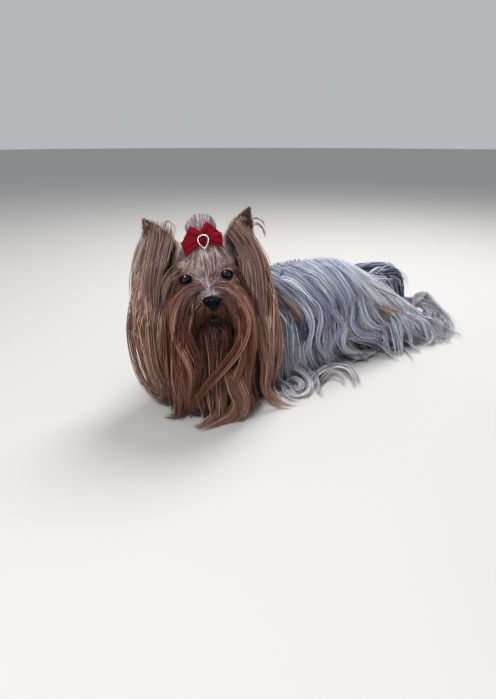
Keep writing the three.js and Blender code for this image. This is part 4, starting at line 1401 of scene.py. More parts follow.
def swung(guides, out, size, long, seed):  # a gentle wave, shared by neighbouring locks
    run = runAlong(guides)
    phase = 2.5 * swell(guides[:, -1], 45, seed) + rng.normal(0, 0.5, len(guides))
    beat = 2 * math.pi * run / long + phase[:, None]
    rise = size * ease(run / 70) * (0.7 + 0.4 * swell(guides[:, 0], 30, seed + 1)[:, None])
    side = unit(np.cross(unit(np.gradient(guides, axis=1)), out))
    wave = (np.sin(beat) - np.sin(phase[:, None])) * rise
    return guides + side * wave[..., None] + out * (0.4 * rise * (np.cos(beat) - 1))[..., None]


fallLook = {"locks": 165, "clearEyes": True, "each": 10, "rings": 11, "spread": 3.4, "depth": 1.4,
            "gather": 0.35, "gatherFrom": 0.6, "stray": 1.0, "width": 0.95, "uneven": 0.2, "lift": 0.7,
            "wild": 0.04, "pile": 2.5, "taper": 0.66}
earFallSteps = {
    1: [(-36, 40, 184, 11, 11), (-36, 45, 168, 16, 16), (-36, 49, 128, 20, 20), (-36, 55, 84, 21, 21),
        (-36, 59, 40, 20, 20), (-36, 59, 0, 18, 18)],
    -1: [(-36, -40, 178, 10, 12), (-36, -44, 163, 14, 17), (-36, -51, 125, 21, 21), (-36, -53, 80, 20, 20),
         (-36, -49, 38, 20, 20), (-36, -43, 0, 19, 19)],
}


def fallTone(roots, which, n, count):
    level = levels(which, n, count, 0.43, 0.15, 0.12) + 0.14 * swell(roots, 16, 44) + 0.09
    # painted light: strands rooted further out from the head are lighter
    level = level + 0.1 * ease((np.abs(toHead(roots)[:, 1]) - 32) / 14)
    warm = (rng.random(count) < 0.35)[which] * 0.7
    root = mixed(shade("gold", level + 0.04), shade("russet", level + 0.15), warm)
    own = rng.normal(0, 0.13, count)[which]
    middle = mixed(shade("russet", level + own + 0.12), shade("gold", level + own),
                   0.3 + 0.6 * (rng.random(n) < 0.3))
    return [root * 0.75, middle, mixed(shade("russet", level + 0.15), shade("gold", level), 0.4),
            mixed(shade("russet", level + own + 0.1), shade("gold", level + own), 0.35) * 0.85]


def growEarFall(side):
    piece = "fall_hair_left" if side > 0 else "fall_hair_right"
    steps = earFallSteps[side]
    n = grown(fallLook["locks"])
    onEar = rng.random(n) < 0.62
    up = rng.uniform(4, 31, n)
    inner = -0.95 + 1.3 * (1 - ease((up - 12) / 14))  # -1 is the ear's inner edge
    outer = 0.9 - 1.15 * ease((up - 17) / 9)
    share = rng.uniform(inner, outer)
    earRoots = earPoint(side, share * earHalfWidth(up) * side, up, rng.choice([2.4, -0.2], n, p=[0.72, 0.28]))
    headRoots = fromHead(columns(
        rng.uniform(-54, -30, n), side * rng.uniform(24, 31, n), rng.uniform(-8, 14, n)))
    roots = np.where(onEar[:, None], earRoots, onSkin(headRoots, 8))
    sideways = np.clip(side * (share * 0.7 + 0.25 + rng.normal(0, 0.3, n)), -0.97, 0.97)
    reach = np.sqrt(np.maximum(1 - sideways**2, 0.05)) * rng.uniform(0.55, 1, n)
    forward = np.where(rng.random(n) < 0.62, 1, -1) * reach
    outLeft = side * headLeft
    ahead = (2.2 * np.where(onEar, 1, np.sign(forward)))[:, None] * headAhead
    reachOut = (5.0 - 3.5 * share)[:, None] * rng.uniform(0.7, 1.2, (n, 1))
    first = roots + ahead + outLeft * reachOut * 0.35 - headUp * 2.5
    second = roots + ahead * 1.6 + outLeft * reachOut - headUp * rng.uniform(12, 16, (n, 1))
    lie = unit(0.8 * levelLeft + 0.5 * headAhead)
    guides, out = hangGuides(steps, roots, [first, second], sideways, forward, 38, (3, 12), 11, lie)
    guides = swung(guides, out, 2.6, 95, 60 + side)
    growLocks(piece, guides, out, fallLook, fallTone)


growEarFall(1)
growEarFall(-1)


moustacheSteps = {
    1: [(19, 8, 132, 7, 7), (16, 22, 121, 9, 9), (14, 33, 98, 9, 10), (13, 32, 60, 12, 12),
        (12, 29, 22, 12, 10), (13, 26, 0, 12, 9)],
    -1: [(19, -8, 132, 7, 7), (16, -18, 121, 9, 9), (14, -29, 98, 9, 10), (11, -28, 60, 12, 12),
         (4, -24, 22, 11, 10), (0, -21, 0, 10, 9)],
}
moustacheLook = {**fallLook, "locks": 116, "each": 9, "spread": 2.2, "depth": 1.2, "width": 0.8,
                 "stray": 0.7, "root": 0.25, "uneven": 0.28, "tint": (0.95, 0.86, 0.86)}


def moustacheTone(roots, which, n, count):
    level = levels(which, n, count, 0.37, 0.1, 0.09) + 0.1 * swell(roots, 8, 45)
    high = ease((toHead(roots)[:, 2] + 15) / 12)
    root = mixed(shade("russet", level - 0.05), shade("cheek", level), high)
    root = mixed(root, shade("knot", level), 0.7 * ease((10 - np.abs(toHead(roots)[:, 1])) / 5) * high)
    middle = shade("russet", level - 0.1)
    tint = np.array(moustacheLook["tint"])
    return [root, mixed(middle, shade("gold", level), 0.2 * high) * tint, middle * tint,
            mixed(shade("russet", level + 0.1), shade("gold", level), 0.2) * tint,
            mixed(shade("russet", level + 0.16), shade("gold", level + 0.04), 0.35) * tint]


def growMoustache(side):
    piece = "moustache_hair_left" if side > 0 else "moustache_hair_right"
    n = grown(moustacheLook["locks"])
    back = rng.random(n)  # from beside the nose to between the eyes
    around = rng.uniform(0.18 + 0.42 * back, 1.3)  # from the bridge down the side of the muzzle
    w = np.clip(1 - 0.6 * around / 1.3 - 0.4 * (1 - back) + rng.normal(0, 0.05, n), 0, 1)
    x = 20 - 22 * back
    y0, z0 = 12 * np.sin(around), -13 + 10 * np.cos(around)
    roots = onSkin(fromHead(columns(x, side * y0, z0)), 8)
    forward = rng.uniform(-0.5, 1, n)
    full = 0.5 + 3.5 * rng.random(n)
    lines = [
        (x + 1.5, side * (y0 + 3.5 + 0.3 * full + 1.5 * w), z0 - 2.0 + 1.5 * w),
        (x + 1 - 1.5 * w + 0.6 * full, side * (15.5 + 11.5 * w), z0 - 10 + 3.5 * w),
        (0.8 * x + 4 - 2 * w + full, side * (20 + 16 * w), -39 + 18 * w),
    ]
    legs = [fromHead(np.stack(line, -1)) for line in lines]
    sideways = side * np.clip(-0.9 + 1.85 * w + rng.normal(0, 0.12, n), -0.97, 0.97)
    forward = np.sqrt(np.maximum(1 - sideways**2, 0.05)) * forward
    guides, out = hangGuides(
        moustacheSteps[side], roots, legs, sideways, forward, 46, (3, 10), 6,
        unit(headAhead - 0.3 * levelLeft) if side > 0 else unit(levelLeft + 0.2 * headAhead))
    guides = swung(guides, out, 2.0, 90, 70 + side)
    growLocks(piece, guides, out, moustacheLook, moustacheTone)


cheekLook = {**moustacheLook, "locks": 55, "spread": 2.6, "width": 1.25}
cheekSteps = {
    1: [(-12, 34, 118, 8, 10), (-10, 38, 90, 10, 12), (-8, 38, 50, 12, 13), (-4, 36, 18, 13, 14),
        (0, 36, 0, 13, 14)],
    -1: [(-12, -32, 118, 8, 10), (-10, -35, 90, 10, 12), (-8, -35, 50, 12, 13), (-4, -32, 18, 13, 14),
         (0, -32, 0, 13, 14)],
}


# darker russet hair behind the moustache: partly its own colour, partly painted shade
def cheekTone(roots, which, n, count):
    level = levels(which, n, count, 0.34, 0.1, 0.1, 0.05)
    return [shade("russet", level + 0.1), shade("russet", level), shade("russet", level + 0.2)]


def growCheek(side):
    piece = "moustache_hair_left" if side > 0 else "moustache_hair_right"
    n = grown(cheekLook["locks"])
    low = rng.random(n)
    roots = onSkin(fromHead(columns(rng.uniform(-30, -3, n), side * rng.uniform(19, 32, n),
                                    -4 - 22 * low)), 6)
    outLeft = side * headLeft
    first = roots + outLeft * 4 - headUp * 5
    sideways = side * rng.uniform(-0.9, 0.95, n)
    forward = np.sqrt(1 - sideways**2) * rng.uniform(-0.6, 1, n)
    guides, out = hangGuides(
        cheekSteps[side], roots, [first], sideways, forward, 26, (2, 10), 6,
        unit(headAhead + 0.2 * levelLeft))
    guides = swung(guides, out, 2.2, 90, 75 + side)
    growLocks(piece, guides, out, cheekLook, cheekTone)


growCheek(1)
growCheek(-1)
growMoustache(1)
growMoustache(-1)


beardLook = {**fallLook, "locks": 130, "each": 7, "spread": 2.4, "uneven": 0.3}
beardSteps = [(11, 2, 119, 17, 9), (8, 2, 92, 21, 9), (8, 3, 55, 20, 10), (9, 4, 18, 18, 10),
              (10, 5, 0, 18, 10)]


def beardTone(roots, which, n, count):
    level = levels(which, n, count, 0.42, 0.1, 0.1)
    low = mixed(shade("russet", level + 0.15), shade("gold", level), 0.4)
    # the dark stops under the mouth: partly the beard's own dark hair, partly painted shade
    dark = shade("chin", level + 0.05)
    return [shade("chin", level - 0.2), dark * 0.85, mixed(dark, shade("russet", level - 0.12), 0.35) * 0.85,
            shade("russet", level - 0.02), mixed(low, shade("russet", level + 0.1), 0.5), low]


def growBeard():
    n = grown(beardLook["locks"])
    roots = onSkin(fromHead(columns(rng.uniform(-10, 21, n), rng.uniform(-15, 15, n),
                                    rng.uniform(-34, -21, n))))
    sideways = rng.uniform(-0.95, 0.95, n)
    forward = np.sqrt(1 - sideways**2) * rng.uniform(0.1, 1, n)
    first = roots - headUp * 6 + headAhead * 2
    lie = unit(headAhead - 0.5 * levelLeft)
    guides, out = hangGuides(beardSteps, roots, [first], sideways, forward, 20, (3, 10), 6, lie)
    guides = swung(guides, out, 2.2, 80, 80)
    growLocks("beard_hair", guides, out, beardLook, beardTone)


lipLook = {**fallLook, "locks": 150, "each": 7, "rings": 6, "spread": 1.2, "depth": 0.7, "gather": 0.7,
           "stray": 0.3, "width": 0.6, "root": 0.3, "uneven": 0.35}


def growLips():  # short over the mouth, longer and outward at its corners
    n = grown(lipLook["locks"])
    y = rng.uniform(-1, 1, n)
    corner = np.abs(y) ** 1.6
    back = rng.random(n) * corner
    z = -17 - 5 * rng.random(n) - 2 * corner
    roots = onSkin(fromHead(columns(24 - 16 * back - 3 * corner, 13.5 * y, z)), 8)
    out = outwardAt(roots)
    aside = np.sign(y)[:, None] * headLeft * (1.0 + 8.0 * corner)[:, None]
    long = (8.5 + 34 * corner * rng.uniform(0.7, 1.1, n))[:, None]
    first = roots + out * 1.6 - headUp * 2.5 + aside * 0.25
    second = roots + out * 1.8 - headUp * long * 0.4 + aside * 0.75
    third = roots + out * 1.4 - headUp * long * 0.75 + aside * 1.05
    last = roots + out * 0.4 - headUp * long + aside * 1.1
    guides = through(np.stack([roots, first, second, third, last], 1), 17)

    def tone(roots, which, strands, locks):
        level = levels(which, strands, locks, 0.36, 0.07, 0.07, 0.03)
        return [mixed(shade("russet", level), shade("chin", level + 0.3), 0.5), shade("russet", level - 0.18),
                shade("chin", level)]

    growLocks("beard_hair", guides, np.repeat(out[:, None], 17, 1), lipLook, tone)


growBeard()
growLips()


# Locks followed over the photo: piece, tone, levels from root to tip, strands and spread, then the pixels
# that each lock passes, with how far ahead of the eyes it lies there
# painted light and shade: the highest levels stand for lit strands, and the dark russet locks by the dog's
# left eye stand for shade
frontLocks = [
    ("moustache_hair_right", "gold", (0.1, 0.45, 0.6, 0.64, 0.58, 0.48, 0.44, 0.46, 0.48), 60, 2.4, [
        (203, 288, 17), (195, 289, 14), (186, 294, 11), (179, 304, 11), (175, 316, 14), (174, 329, 17),
        (177, 341, 20), (184, 354, 23), (190, 368, 22), (192, 385, 19), (190, 400, 10), (184, 414, 0)]),
    ("moustache_hair_right", "gold", (0.1, 0.35, 0.45, 0.42, 0.4, 0.44), 40, 2.0, [
        (204, 291, 19), (197, 295, 17), (189, 303, 15), (184, 314, 16), (181, 327, 18), (184, 341, 20),
        (190, 355, 21), (195, 368, 21)]),
    ("moustache_hair_right", "gold", (0.15, 0.5, 0.44, 0.35), 26, 1.5, [
        (205, 295, 21), (199, 300, 20), (193, 308, 19), (188, 319, 19), (186, 330, 20), (189, 342, 21)]),
    ("moustache_hair_right", "gold", (0.25, 0.62, 0.5), 16, 1.2,
     [(204, 299, 23), (199, 304, 22), (194, 311, 21), (191, 319, 20)]),
    ("moustache_hair_right", "gold", (0.1, 0.4, 0.44, 0.4, 0.4), 36, 2.2, [
        (202, 287, 14), (196, 286, 10), (187, 289, 7), (178, 297, 6), (172, 308, 8), (170, 322, 11),
        (171, 336, 14)]),
    ("moustache_hair_right", "cheek", (0.1, 0.36, 0.34, 0.25), 22, 4.6, [
        (183, 270, 1), (176, 275, -1), (170, 282, -3), (166, 293, -5), (165, 308, -6)]),
    ("moustache_hair_right", "gold", (0.1, 0.28, 0.3, 0.36, 0.42), 26, 3.0, [
        (176, 312, 13), (181, 322, 17), (188, 334, 21), (194, 350, 23), (200, 362, 24), (199, 376, 24),
        (196, 390, 18), (192, 402, 10), (187, 413, 2)]),
    ("moustache_hair_left", "gold", (0.1, 0.45, 0.72, 0.66, 0.56, 0.44, 0.42, 0.42, 0.46), 70, 2.8, [
        (215, 288, 18), (223, 288, 13), (232, 290, 12), (241, 296, 12), (248, 305, 13), (252, 316, 15),
        (254, 330, 17), (254, 345, 18), (251, 362, 19), (248, 380, 19), (249, 393, 17), (254, 402, 12),
        (258, 408, 7)]),
    ("moustache_hair_left", "gold", (0.1, 0.4, 0.55, 0.4, 0.3, 0.28, 0.32, 0.36), 60, 3.4, [
        (214, 290, 20), (224, 291, 17), (234, 296, 15), (242, 305, 17), (247, 317, 20), (247, 330, 23),
        (240, 348, 26), (228, 364, 28), (216, 378, 28), (205, 390, 24), (197, 401, 17), (191, 411, 9)]),
    ("moustache_hair_left", "gold", (0.1, 0.3, 0.35, 0.3, 0.36), 40, 2.0, [
        (215, 294, 22), (224, 297, 20), (232, 304, 19), (238, 315, 20), (241, 328, 21), (240, 342, 23),
        (233, 358, 25), (225, 374, 26), (219, 390, 22)]),
    ("moustache_hair_left", "russet", (0.3, 0.6, 0.5, 0.4), 26, 1.6, [
        (218, 299, 24), (225, 303, 22), (231, 311, 21), (235, 322, 21), (236, 334, 22)]),
    ("moustache_hair_left", "gold", (0.1, 0.4, 0.52, 0.42, 0.35), 36, 2.4, [
        (215, 286, 15), (223, 284, 10), (232, 285, 8), (242, 291, 8), (249, 301, 9), (253, 313, 12),
        (255, 328, 15)]),
    ("moustache_hair_left", "gold", (0.1, 0.3, 0.42, 0.42), 24, 2.6, [
        (246, 335, 24), (244, 360, 27), (238, 376, 29), (231, 388, 29), (227, 396, 28)]),
    ("moustache_hair_left", "knot", (0.3, 0.6, 0.5), 5, 0.4,
     [(219, 276, 6), (224, 279, 6), (228, 282, 6), (231, 286, 6)]),
    # painted shade: these two dark russet locks on the dog's left cheek
    ("moustache_hair_left", "russet", (0.1, 0.2, 0.15, 0.2), 44, 3.0, [
        (234, 268, 0), (241, 276, -2), (245, 288, -4), (248, 302, -4), (251, 318, -4)]),
    ("moustache_hair_left", "russet", (0.15, 0.22, 0.2), 34, 2.6,
     [(232, 278, 5), (239, 283, 2), (245, 292, 0), (249, 303, 0)]),
    ("beard_hair", "russet", (0.02, 0.08, 0.05), 16, 1.0,
     [(204, 319, 22), (211, 320.5, 23), (217, 320, 23), (222, 317, 21)]),
    ("beard_hair", "gold", (0.2, 0.5, 0.6, 0.7, 0.72), 76, 4.4, [
        (233, 368, 24), (239, 386, 25), (244, 398, 25), (244, 409, 22), (238, 418, 17), (227, 423, 20),
        (215, 425, 24), (205, 424, 24), (200, 417, 14)]),
    ("beard_hair", "gold", (0.2, 0.45, 0.56, 0.66, 0.64), 56, 4.0, [
        (226, 372, 24), (231, 391, 26), (236, 403, 24), (232, 414, 19), (222, 421, 20), (210, 427, 28),
        (197, 432, 34)]),
    ("beard_hair", "gold", (0.2, 0.5, 0.58, 0.56), 40, 2.8, [
        (218, 410, 14), (212, 418, 18), (205, 424, 24), (198, 427, 28), (193, 424, 24)]),
    ("fall_hair_left", "russet", (0.2, 0.32, 0.3, 0.3), 36, 3.6, [
        (249, 288, -8), (253, 303, -8), (256, 318, -8), (258, 335, -8), (258, 354, -8)]),
    ("fall_hair_left", "gold", (0.2, 0.5, 0.52, 0.56), 40, 3.0, [
        (255, 318, 0), (261, 348, 1), (264, 366, 1), (263, 382, 1), (265, 394, 1), (271, 403, 1),
        (281, 409, 3), (293, 411, 5)]),
    ("fall_hair_left", "gold", (0.3, 0.55, 0.55, 0.6), 44, 2.8, [
        (261, 330, -6), (267, 358, -6), (267, 375, -6), (268, 388, -5), (275, 398, -5), (287, 405, -3),
        (301, 406, -1)]),
    ("fall_hair_left", "gold", (0.3, 0.55, 0.5, 0.5), 26, 2.4, [
        (264, 270, -26), (271, 292, -24), (277, 314, -24), (280, 335, -25), (281, 352, -25),
        (278, 368, -24), (274, 384, -22), (277, 395, -18)]),
    ("fall_hair_left", "cheek", (0.2, 0.42, 0.5, 0.42, 0.3), 34, 4.2, [
        (231, 221, -26), (240, 231, -20), (248, 244, -16), (255, 262, -14), (258, 285, -14),
        (259, 312, -14), (262, 340, -10)]),
    ("fall_hair_left", "cheek", (0.3, 0.6, 0.75, 0.6, 0.45), 12, 2.0, [
        (236, 222, -24), (247, 238, -18), (254, 258, -15), (258, 284, -14), (259, 312, -14),
        (262, 340, -10), (266, 362, -8)]),
    ("fall_hair_left", "cheek", (0.2, 0.4, 0.5, 0.42), 34, 4.2, [
        (228, 227, -24), (236, 238, -18), (243, 252, -15), (249, 270, -13), (253, 290, -13)]),
    # painted highlight: a pale lit lock at the top of the fall
    ("fall_hair_left", "gold", (0.3, 0.75, 0.85, 0.6, 0.4), 16, 2.2, [
        (246, 228, -20), (254, 240, -18), (262, 254, -20), (268, 268, -24), (271, 284, -27)]),
    ("fall_hair_left", "russet", (0.3, 0.7, 0.7, 0.6), 30, 3.0, [
        (246, 234, -17), (254, 246, -15), (261, 262, -15), (264, 282, -16), (266, 304, -17)]),
    ("fall_hair_right", "gold", (0.3, 0.5, 0.5, 0.55), 40, 3.2, [
        (134, 300, -32), (131, 325, -30), (134, 350, -30), (140, 371, -28), (148, 386, -26),
        (158, 395, -24), (172, 399, -22), (188, 397, -22)]),
    ("fall_hair_right", "gold", (0.2, 0.46, 0.46, 0.5), 36, 3.2, [
        (150, 318, -15), (152, 345, -15), (155, 364, -15), (162, 380, -17), (173, 391, -20),
        (188, 395, -22)]),
    ("fall_hair_right", "gold", (0.2, 0.4, 0.4, 0.45), 30, 3.0, [
        (160, 330, -13), (163, 355, -13), (169, 372, -13), (179, 385, -15), (190, 391, -18)]),
    ("fall_hair_right", "cheek", (0.1, 0.3, 0.4, 0.32, 0.25), 36, 4.6, [
        (159, 222, -33), (158, 236, -26), (155, 252, -20), (152, 270, -15), (151, 292, -14),
        (151, 320, -14)]),
    ("fall_hair_right", "cheek", (0.2, 0.5, 0.62, 0.5, 0.35), 16, 2.4, [
        (155, 223, -33), (152, 238, -26), (148, 256, -20), (145, 275, -17), (143, 300, -17),
        (144, 330, -17)]),
    ("fall_hair_right", "cheek", (0.2, 0.5, 0.6, 0.5, 0.35), 34, 4.4, [
        (165, 225, -32), (163, 240, -24), (159, 256, -18), (156, 274, -14), (154, 296, -13),
        (154, 320, -13)]),
    ("fall_hair_right", "cheek", (0.15, 0.42, 0.42, 0.25), 28, 3.6,
     [(170, 229, -30), (168, 243, -22), (165, 258, -16), (161, 278, -12)]),
    # painted highlight: a pale lit lock on the fall's upper outer side
    ("fall_hair_right", "cheek", (0.4, 0.85, 0.85, 0.66, 0.4), 30, 3.4, [
        (148, 230, -38), (143, 240, -39), (138, 253, -39), (135, 268, -38), (133, 285, -36),
        (132, 306, -34)]),
    ("fall_hair_right", "gold", (0.3, 0.5, 0.5, 0.44, 0.4), 36, 3.4, [
        (150, 232, -36), (146, 244, -37), (142, 258, -37), (139, 275, -36), (137, 296, -34),
        (136, 316, -33)]),
    ("fall_hair_right", "gold", (0.4, 0.5, 0.45, 0.4), 20, 2.2, [
        (148, 234, -38), (144, 248, -39), (141.5, 260, -39), (140.5, 275, -38), (139, 292, -36)]),
    ("fall_hair_right", "sable", (0.5, 0.4, 0.3), 14, 1.3,
     [(144, 219, -34), (145.5, 227, -34), (147, 237, -35)]),
    ("fall_hair_right", "gold", (0.5, 0.75, 0.75, 0.6), 12, 1.8, [
        (135, 280, -30), (136, 310, -30), (133, 338, -30), (136, 354, -30), (134, 368, -30)]),
    ("fall_hair_left", "cheek", (0.2, 0.6, 0.8), 5, 1.2,
     [(253, 219, -34), (257, 218, -34), (262, 221, -34), (266, 229, -34)]),
    ("fall_hair_left", "cheek", (0.2, 0.6, 0.8), 5, 1.2,
     [(254, 224, -34), (258, 223, -34), (263, 229, -34), (265, 238, -34)]),
    ("fall_hair_right", "cheek", (0.2, 0.6, 0.7), 5, 1.4,
     [(163, 228, -32), (166, 220, -31), (173, 224, -29), (177, 233, -26)]),
    ("crown_hair", "cheek", (0.3, 0.5, 0.6, 0.5), 12, 2.6,
     [(206, 256, 2.5), (207, 266, 6), (208, 275, 7), (208.5, 283, 14)]),
    ("crown_hair", "knot", (0.3, 0.42, 0.42, 0.36), 10, 2.6,
     [(211, 254, 1.5), (212, 263, 5), (212, 272, 6.5), (211, 280, 11)]),
    ("crown_hair", "sable", (0.5, 0.42, 0.5), 7, 0.5, [(214.5, 254, 1), (215.5, 262, 4), (215.5, 270, 5.5)]),
    ("crown_hair", "sable", (0.5, 0.42, 0.5), 7, 0.6, [(200, 252, 0), (201, 262, 4.6), (201, 270, 6.4)]),
    ("crown_hair", "knot", (0.5, 0.7, 0.7, 0.6), 18, 2.4, [(215, 250, -2), (218, 255, 0), (220, 262, 2.5)]),
]


def growFrontLocks(*pieces):
    for piece, palette, along, strands, spread, path in frontLocks:
        if piece not in pieces:
            continue
        line = np.array([seenAhead(*knot) for knot in path])
        n = 5
        size = np.linspace(1.1, 0.55, len(line))[None, :, None]
        guides = through(line[None] + rng.normal(0, 0.55, (n, 1, 3)) * spread * size, 33)
        guides[..., 2] = np.maximum(guides[..., 2], 1.5)
        out = np.broadcast_to(unit(headAhead + (0, 0, 0.5)), guides.shape)
        look = {**fallLook, "each": grown(strands, 1, n), "rings": 8 + len(path) // 2,
                "spread": spread,
                "depth": 0.7, "gather": 0.45, "width": 0.72, "stray": 0.6, "root": 0.15, "uneven": 0.3}
        tinted = piece.startswith("moustache") and palette == "gold"
        tint = moustacheLook["tint"] if tinted else (1.0, 1.0, 1.0)
        growLocks(piece, guides, out, look, tracedTone(palette, along, tint))


chestLook = {**fallLook, "locks": 120, "each": 7, "spread": 3.4, "width": 1.7, "rings": 10}
chestSteps = [(-26, 0, 124, 30, 22), (-24, 0, 95, 38, 29), (-18, 2, 50, 45, 34), (-12, 5, 15, 52, 36),
              (-9, 7, 0, 54, 36)]


def chestTone(roots, which, n, count):
    level = levels(which, n, count, 0.42, 0.18, 0.1)
    return shade("russet", level - 0.15), mixed(shade("russet", level + 0.05), shade("gold", level), 0.4)


def growChest():
    n = grown(chestLook["locks"])
    turn = rng.uniform(0, 2 * math.pi, n)
    ring = rng.uniform(0.8, 1.0, n)
    sideways, forward = np.cos(turn) * ring, np.sin(turn) * ring
    top = rng.uniform(85, 122, n)
    roots = hangPoint(chestSteps, top, sideways * 0.8, forward * 0.8)
    first = roots + unit(roots - hangPoint(chestSteps, top, 0 * turn, 0 * turn)) * 3 - np.array([0, 0, 6.0])
    guides, out = hangGuides(chestSteps, roots, [first], sideways, forward, 18, (2, 16), 16)
    guides = swung(guides, out, 2.5, 85, 90)
    growLocks("chest_hair", guides, out, chestLook, chestTone)


growChest()
growFrontLocks("moustache_hair_right", "moustache_hair_left", "beard_hair", "fall_hair_left",
               "fall_hair_right")
for name in ("left", "right"):
    finishCoat("fall_hair_" + name, "gold_coat", "hair", "head", "ear_fall_" + name)
for name in ("left", "right"):
    finishCoat("moustache_hair_" + name, "gold_coat", "hair", "head", "moustache_" + name)
finishCoat("beard_hair", "gold_coat", "hair", "head", "beard")
finishCoat("chest_hair", "gold_coat", "hair", "body", "chest_coat")


# Mane: from the crown and nape over the neck and down over the shoulders


maneLook = {**bodyLook, "locks": 70, "each": 8, "rings": 14, "spread": 3.6}
neckLook = {**bodyLook, "locks": 210, "rightmost": -88, "each": 6, "rings": 9, "spread": 3.4, "depth": 1.4,
            "width": 1.8, "stray": 1.0}
rumpLook = {**bodyLook, "locks": 110, "each": 6, "rings": 9, "spread": 3.0, "depth": 1.2, "width": 1.5,
            "stray": 1.0}


def growMane():
    n = grown(maneLook["locks"])
    along = rng.random(n)
    turn = rng.uniform(-1.35, 1.35, n)
    line = np.array(neckLine)
    crown = fromHead([-50, 0, 12])
    spine = np.stack([crown, line[1, :3] + (0, 0, 6), line[2, :3] + (0, 4, 8), (0, 90, 84)])
    half = np.array([20, 32, 40, 40])
    centre = np.stack([np.interp(along * 3, range(4), spine[:, i]) for i in range(3)], -1)
    size = np.interp(along * 3, range(4), half)
    radial = columns(np.sin(turn), 0.0, np.cos(turn))
    roots = onSkin(centre + radial * size[:, None] * 0.9, 6)
    side = np.where(turn > 0, 1.0, -1.0)
    flow = np.array([-0.35, 0.85, 0.1])
    first = roots + radial * 5 + flow * 12
    second = roots + radial * 10 + flow * 26 - np.array([0, 0, 1.0]) * (6 + 10 * np.abs(turn))[:, None]
    rows = [roots, first, second]
    y = np.clip(second[:, 1] + rng.uniform(6, 20, n), 10, 110)
    startQ = np.clip(0.1 + np.abs(turn) * 0.28, 0.1, 0.55)
    for share in (0.0, 0.35, 0.7, 1.0):
        q = startQ + (rng.uniform(0.9, 1.08, n) - startQ) * share
        rows.append(coatPoint(y + 10 * share, q, side, 1.0))
    guides = through(np.stack(rows, 1), 33)
    out = awayFrom(guides, 40)
    guides = swung(guides, out, 4.0, 76, 100)
    growLocks("mane_hair", guides, out, maneLook, maneTone(along))


def maneTone(along):
    def tone(roots, which, n, count):
        level = levels(which, n, count, 0.66, 0.1, 0.12)
        front = (1 - ease(along * 3 - 0.3))[which]
        root = mixed(shade("silver", level - 0.1), shade("gold", level + 0.05), front)
        return root, mixed(shade("silver", level), shade("cream", level), 0.5)
    return tone


def skinSpots(count, keep):  # even over the skin, as far as keep allows
    a, b, c = (skinPoints[skinQuads[:, i]] for i in (0, 1, 2))
    area = np.linalg.norm(np.cross(b - a, c - a), axis=1) * keep(skinPoints[skinQuads].mean(1))
    pick = rng.choice(len(area), count, p=area / area.sum())
    u, v = rng.random((2, count, 1))
    d = skinPoints[skinQuads[pick, 3]]
    return (a[pick] * (1 - u) + b[pick] * u) * (1 - v) + (d * (1 - u) + c[pick] * u) * v


def draped(roots, way, long, fall, steps=20):  # hair that leaves the skin that way, lies on it and falls
    path = [roots]
    for i in range(1, steps):
        at = path[-1]
        out = outwardAt(at)
        way = unit((1 - fall) * way + fall * (out * (0.25, 0.25, 0) - (0, 0, 1)))
        inward = np.minimum((way * out).sum(1, keepdims=True), 0)
        way = np.where((depthAt(at) < 9)[:, None], unit(way - out * inward), way)
        path.append(keptOff(at + way * (long / (steps - 1))[:, None],
                            np.full(len(at), min(0.6 + 0.6 * i, 5.0)), 2))
    return np.stack(path, 1)


def neckMiddle(points):  # how far left the middle of the neck lies there
    return np.interp(points[:, 1], (-10, 0, 20, 48, 70), (40, 36, 18, 2, 0))


def growNeck():  # nape, sides of the neck and shoulders
    n = grown(neckLook["locks"])

    def keep(points):
        local = toHead(points)
        behind = (local[:, 0] < -32) | (points[:, 2] < 96)
        onEar = (local[:, 2] > 20) & (np.abs(local[:, 1]) > 22)
        hidden = (points[:, 0] < neckMiddle(points) - 4) | (points[:, 2] > 128)
        return (behind & hidden & ~onEar & (points[:, 1] < 64) & (points[:, 2] > 24)).astype(float)

    roots = skinSpots(n, keep)
    axis = neckMiddle(roots)
    aside = np.clip((roots[:, 0] - axis) / 14, -1, 1)
    back = ease((roots[:, 2] - 70) / 40)
    way = unit(columns(0.25 * aside, 0.1 + 0.5 * back, -0.6) + 0.06 * rng.normal(size=(n, 3)))
    reach = np.interp(roots[:, 1], (0, 30), (130, 72)) * rng.uniform(0.75, 1.0, n)
    long = np.minimum((roots[:, 2] - 3) / 0.82 * rng.uniform(0.75, 1.0, n), reach)
    guides = draped(roots, way, long, 0.3)
    guides[..., 0] = np.maximum(guides[..., 0], neckLook["rightmost"])
    out = awayFrom(guides, 60, axis[:, None])

    def tone(roots, which, strands, locks):
        level = levels(which, strands, locks, 0.5, 0.08, 0.1)
        silver = ease((roots[:, 1] - 12) / 24 + (roots[:, 2] - 110) / 60)
        gold = mixed(shade("russet", level + 0.12), shade("gold", level - 0.05), 0.4)
        tip = mixed(gold, shade("silver", level + 0.05), silver)
        return [mixed(gold, shade("silver", level - 0.1), silver) * 0.8, tip,
                mixed(tip, shade("cream", level), 0.3 * silver)]

    growLocks("mane_hair", guides, out, neckLook, tone)


def growRump():  # over the root of the tail and between the thighs
    n = grown(rumpLook["locks"])

    def keep(points):
        x, y, z = points.T
        return ((y > 232) & (y < 312) & (z > 22) & (x > -34) & (x < 42)).astype(float)

    roots = skinSpots(n, keep)
    aside = np.clip(roots[:, 0] / 20, -1, 1)
    way = unit(columns(0.15 * aside, 0.8, -0.5) + 0.1 * rng.normal(size=(n, 3)))
    long = np.minimum((roots[:, 2] - 3) / 0.6, rng.uniform(50, 90, n))
    guides = draped(roots, way, long, 0.2)
    guides[..., 1] = np.minimum(guides[..., 1], coatEnd - 6)
    out = awayFrom(guides, 20)

    def tone(roots, which, strands, locks):
        level = levels(which, strands, locks, 0.6, 0.06, 0.1)
        return [shade("silver", level), mixed(shade("silver", level), shade("cream", level + 0.1), 0.5)]

    growLocks("mane_hair", guides, out, rumpLook, tone)


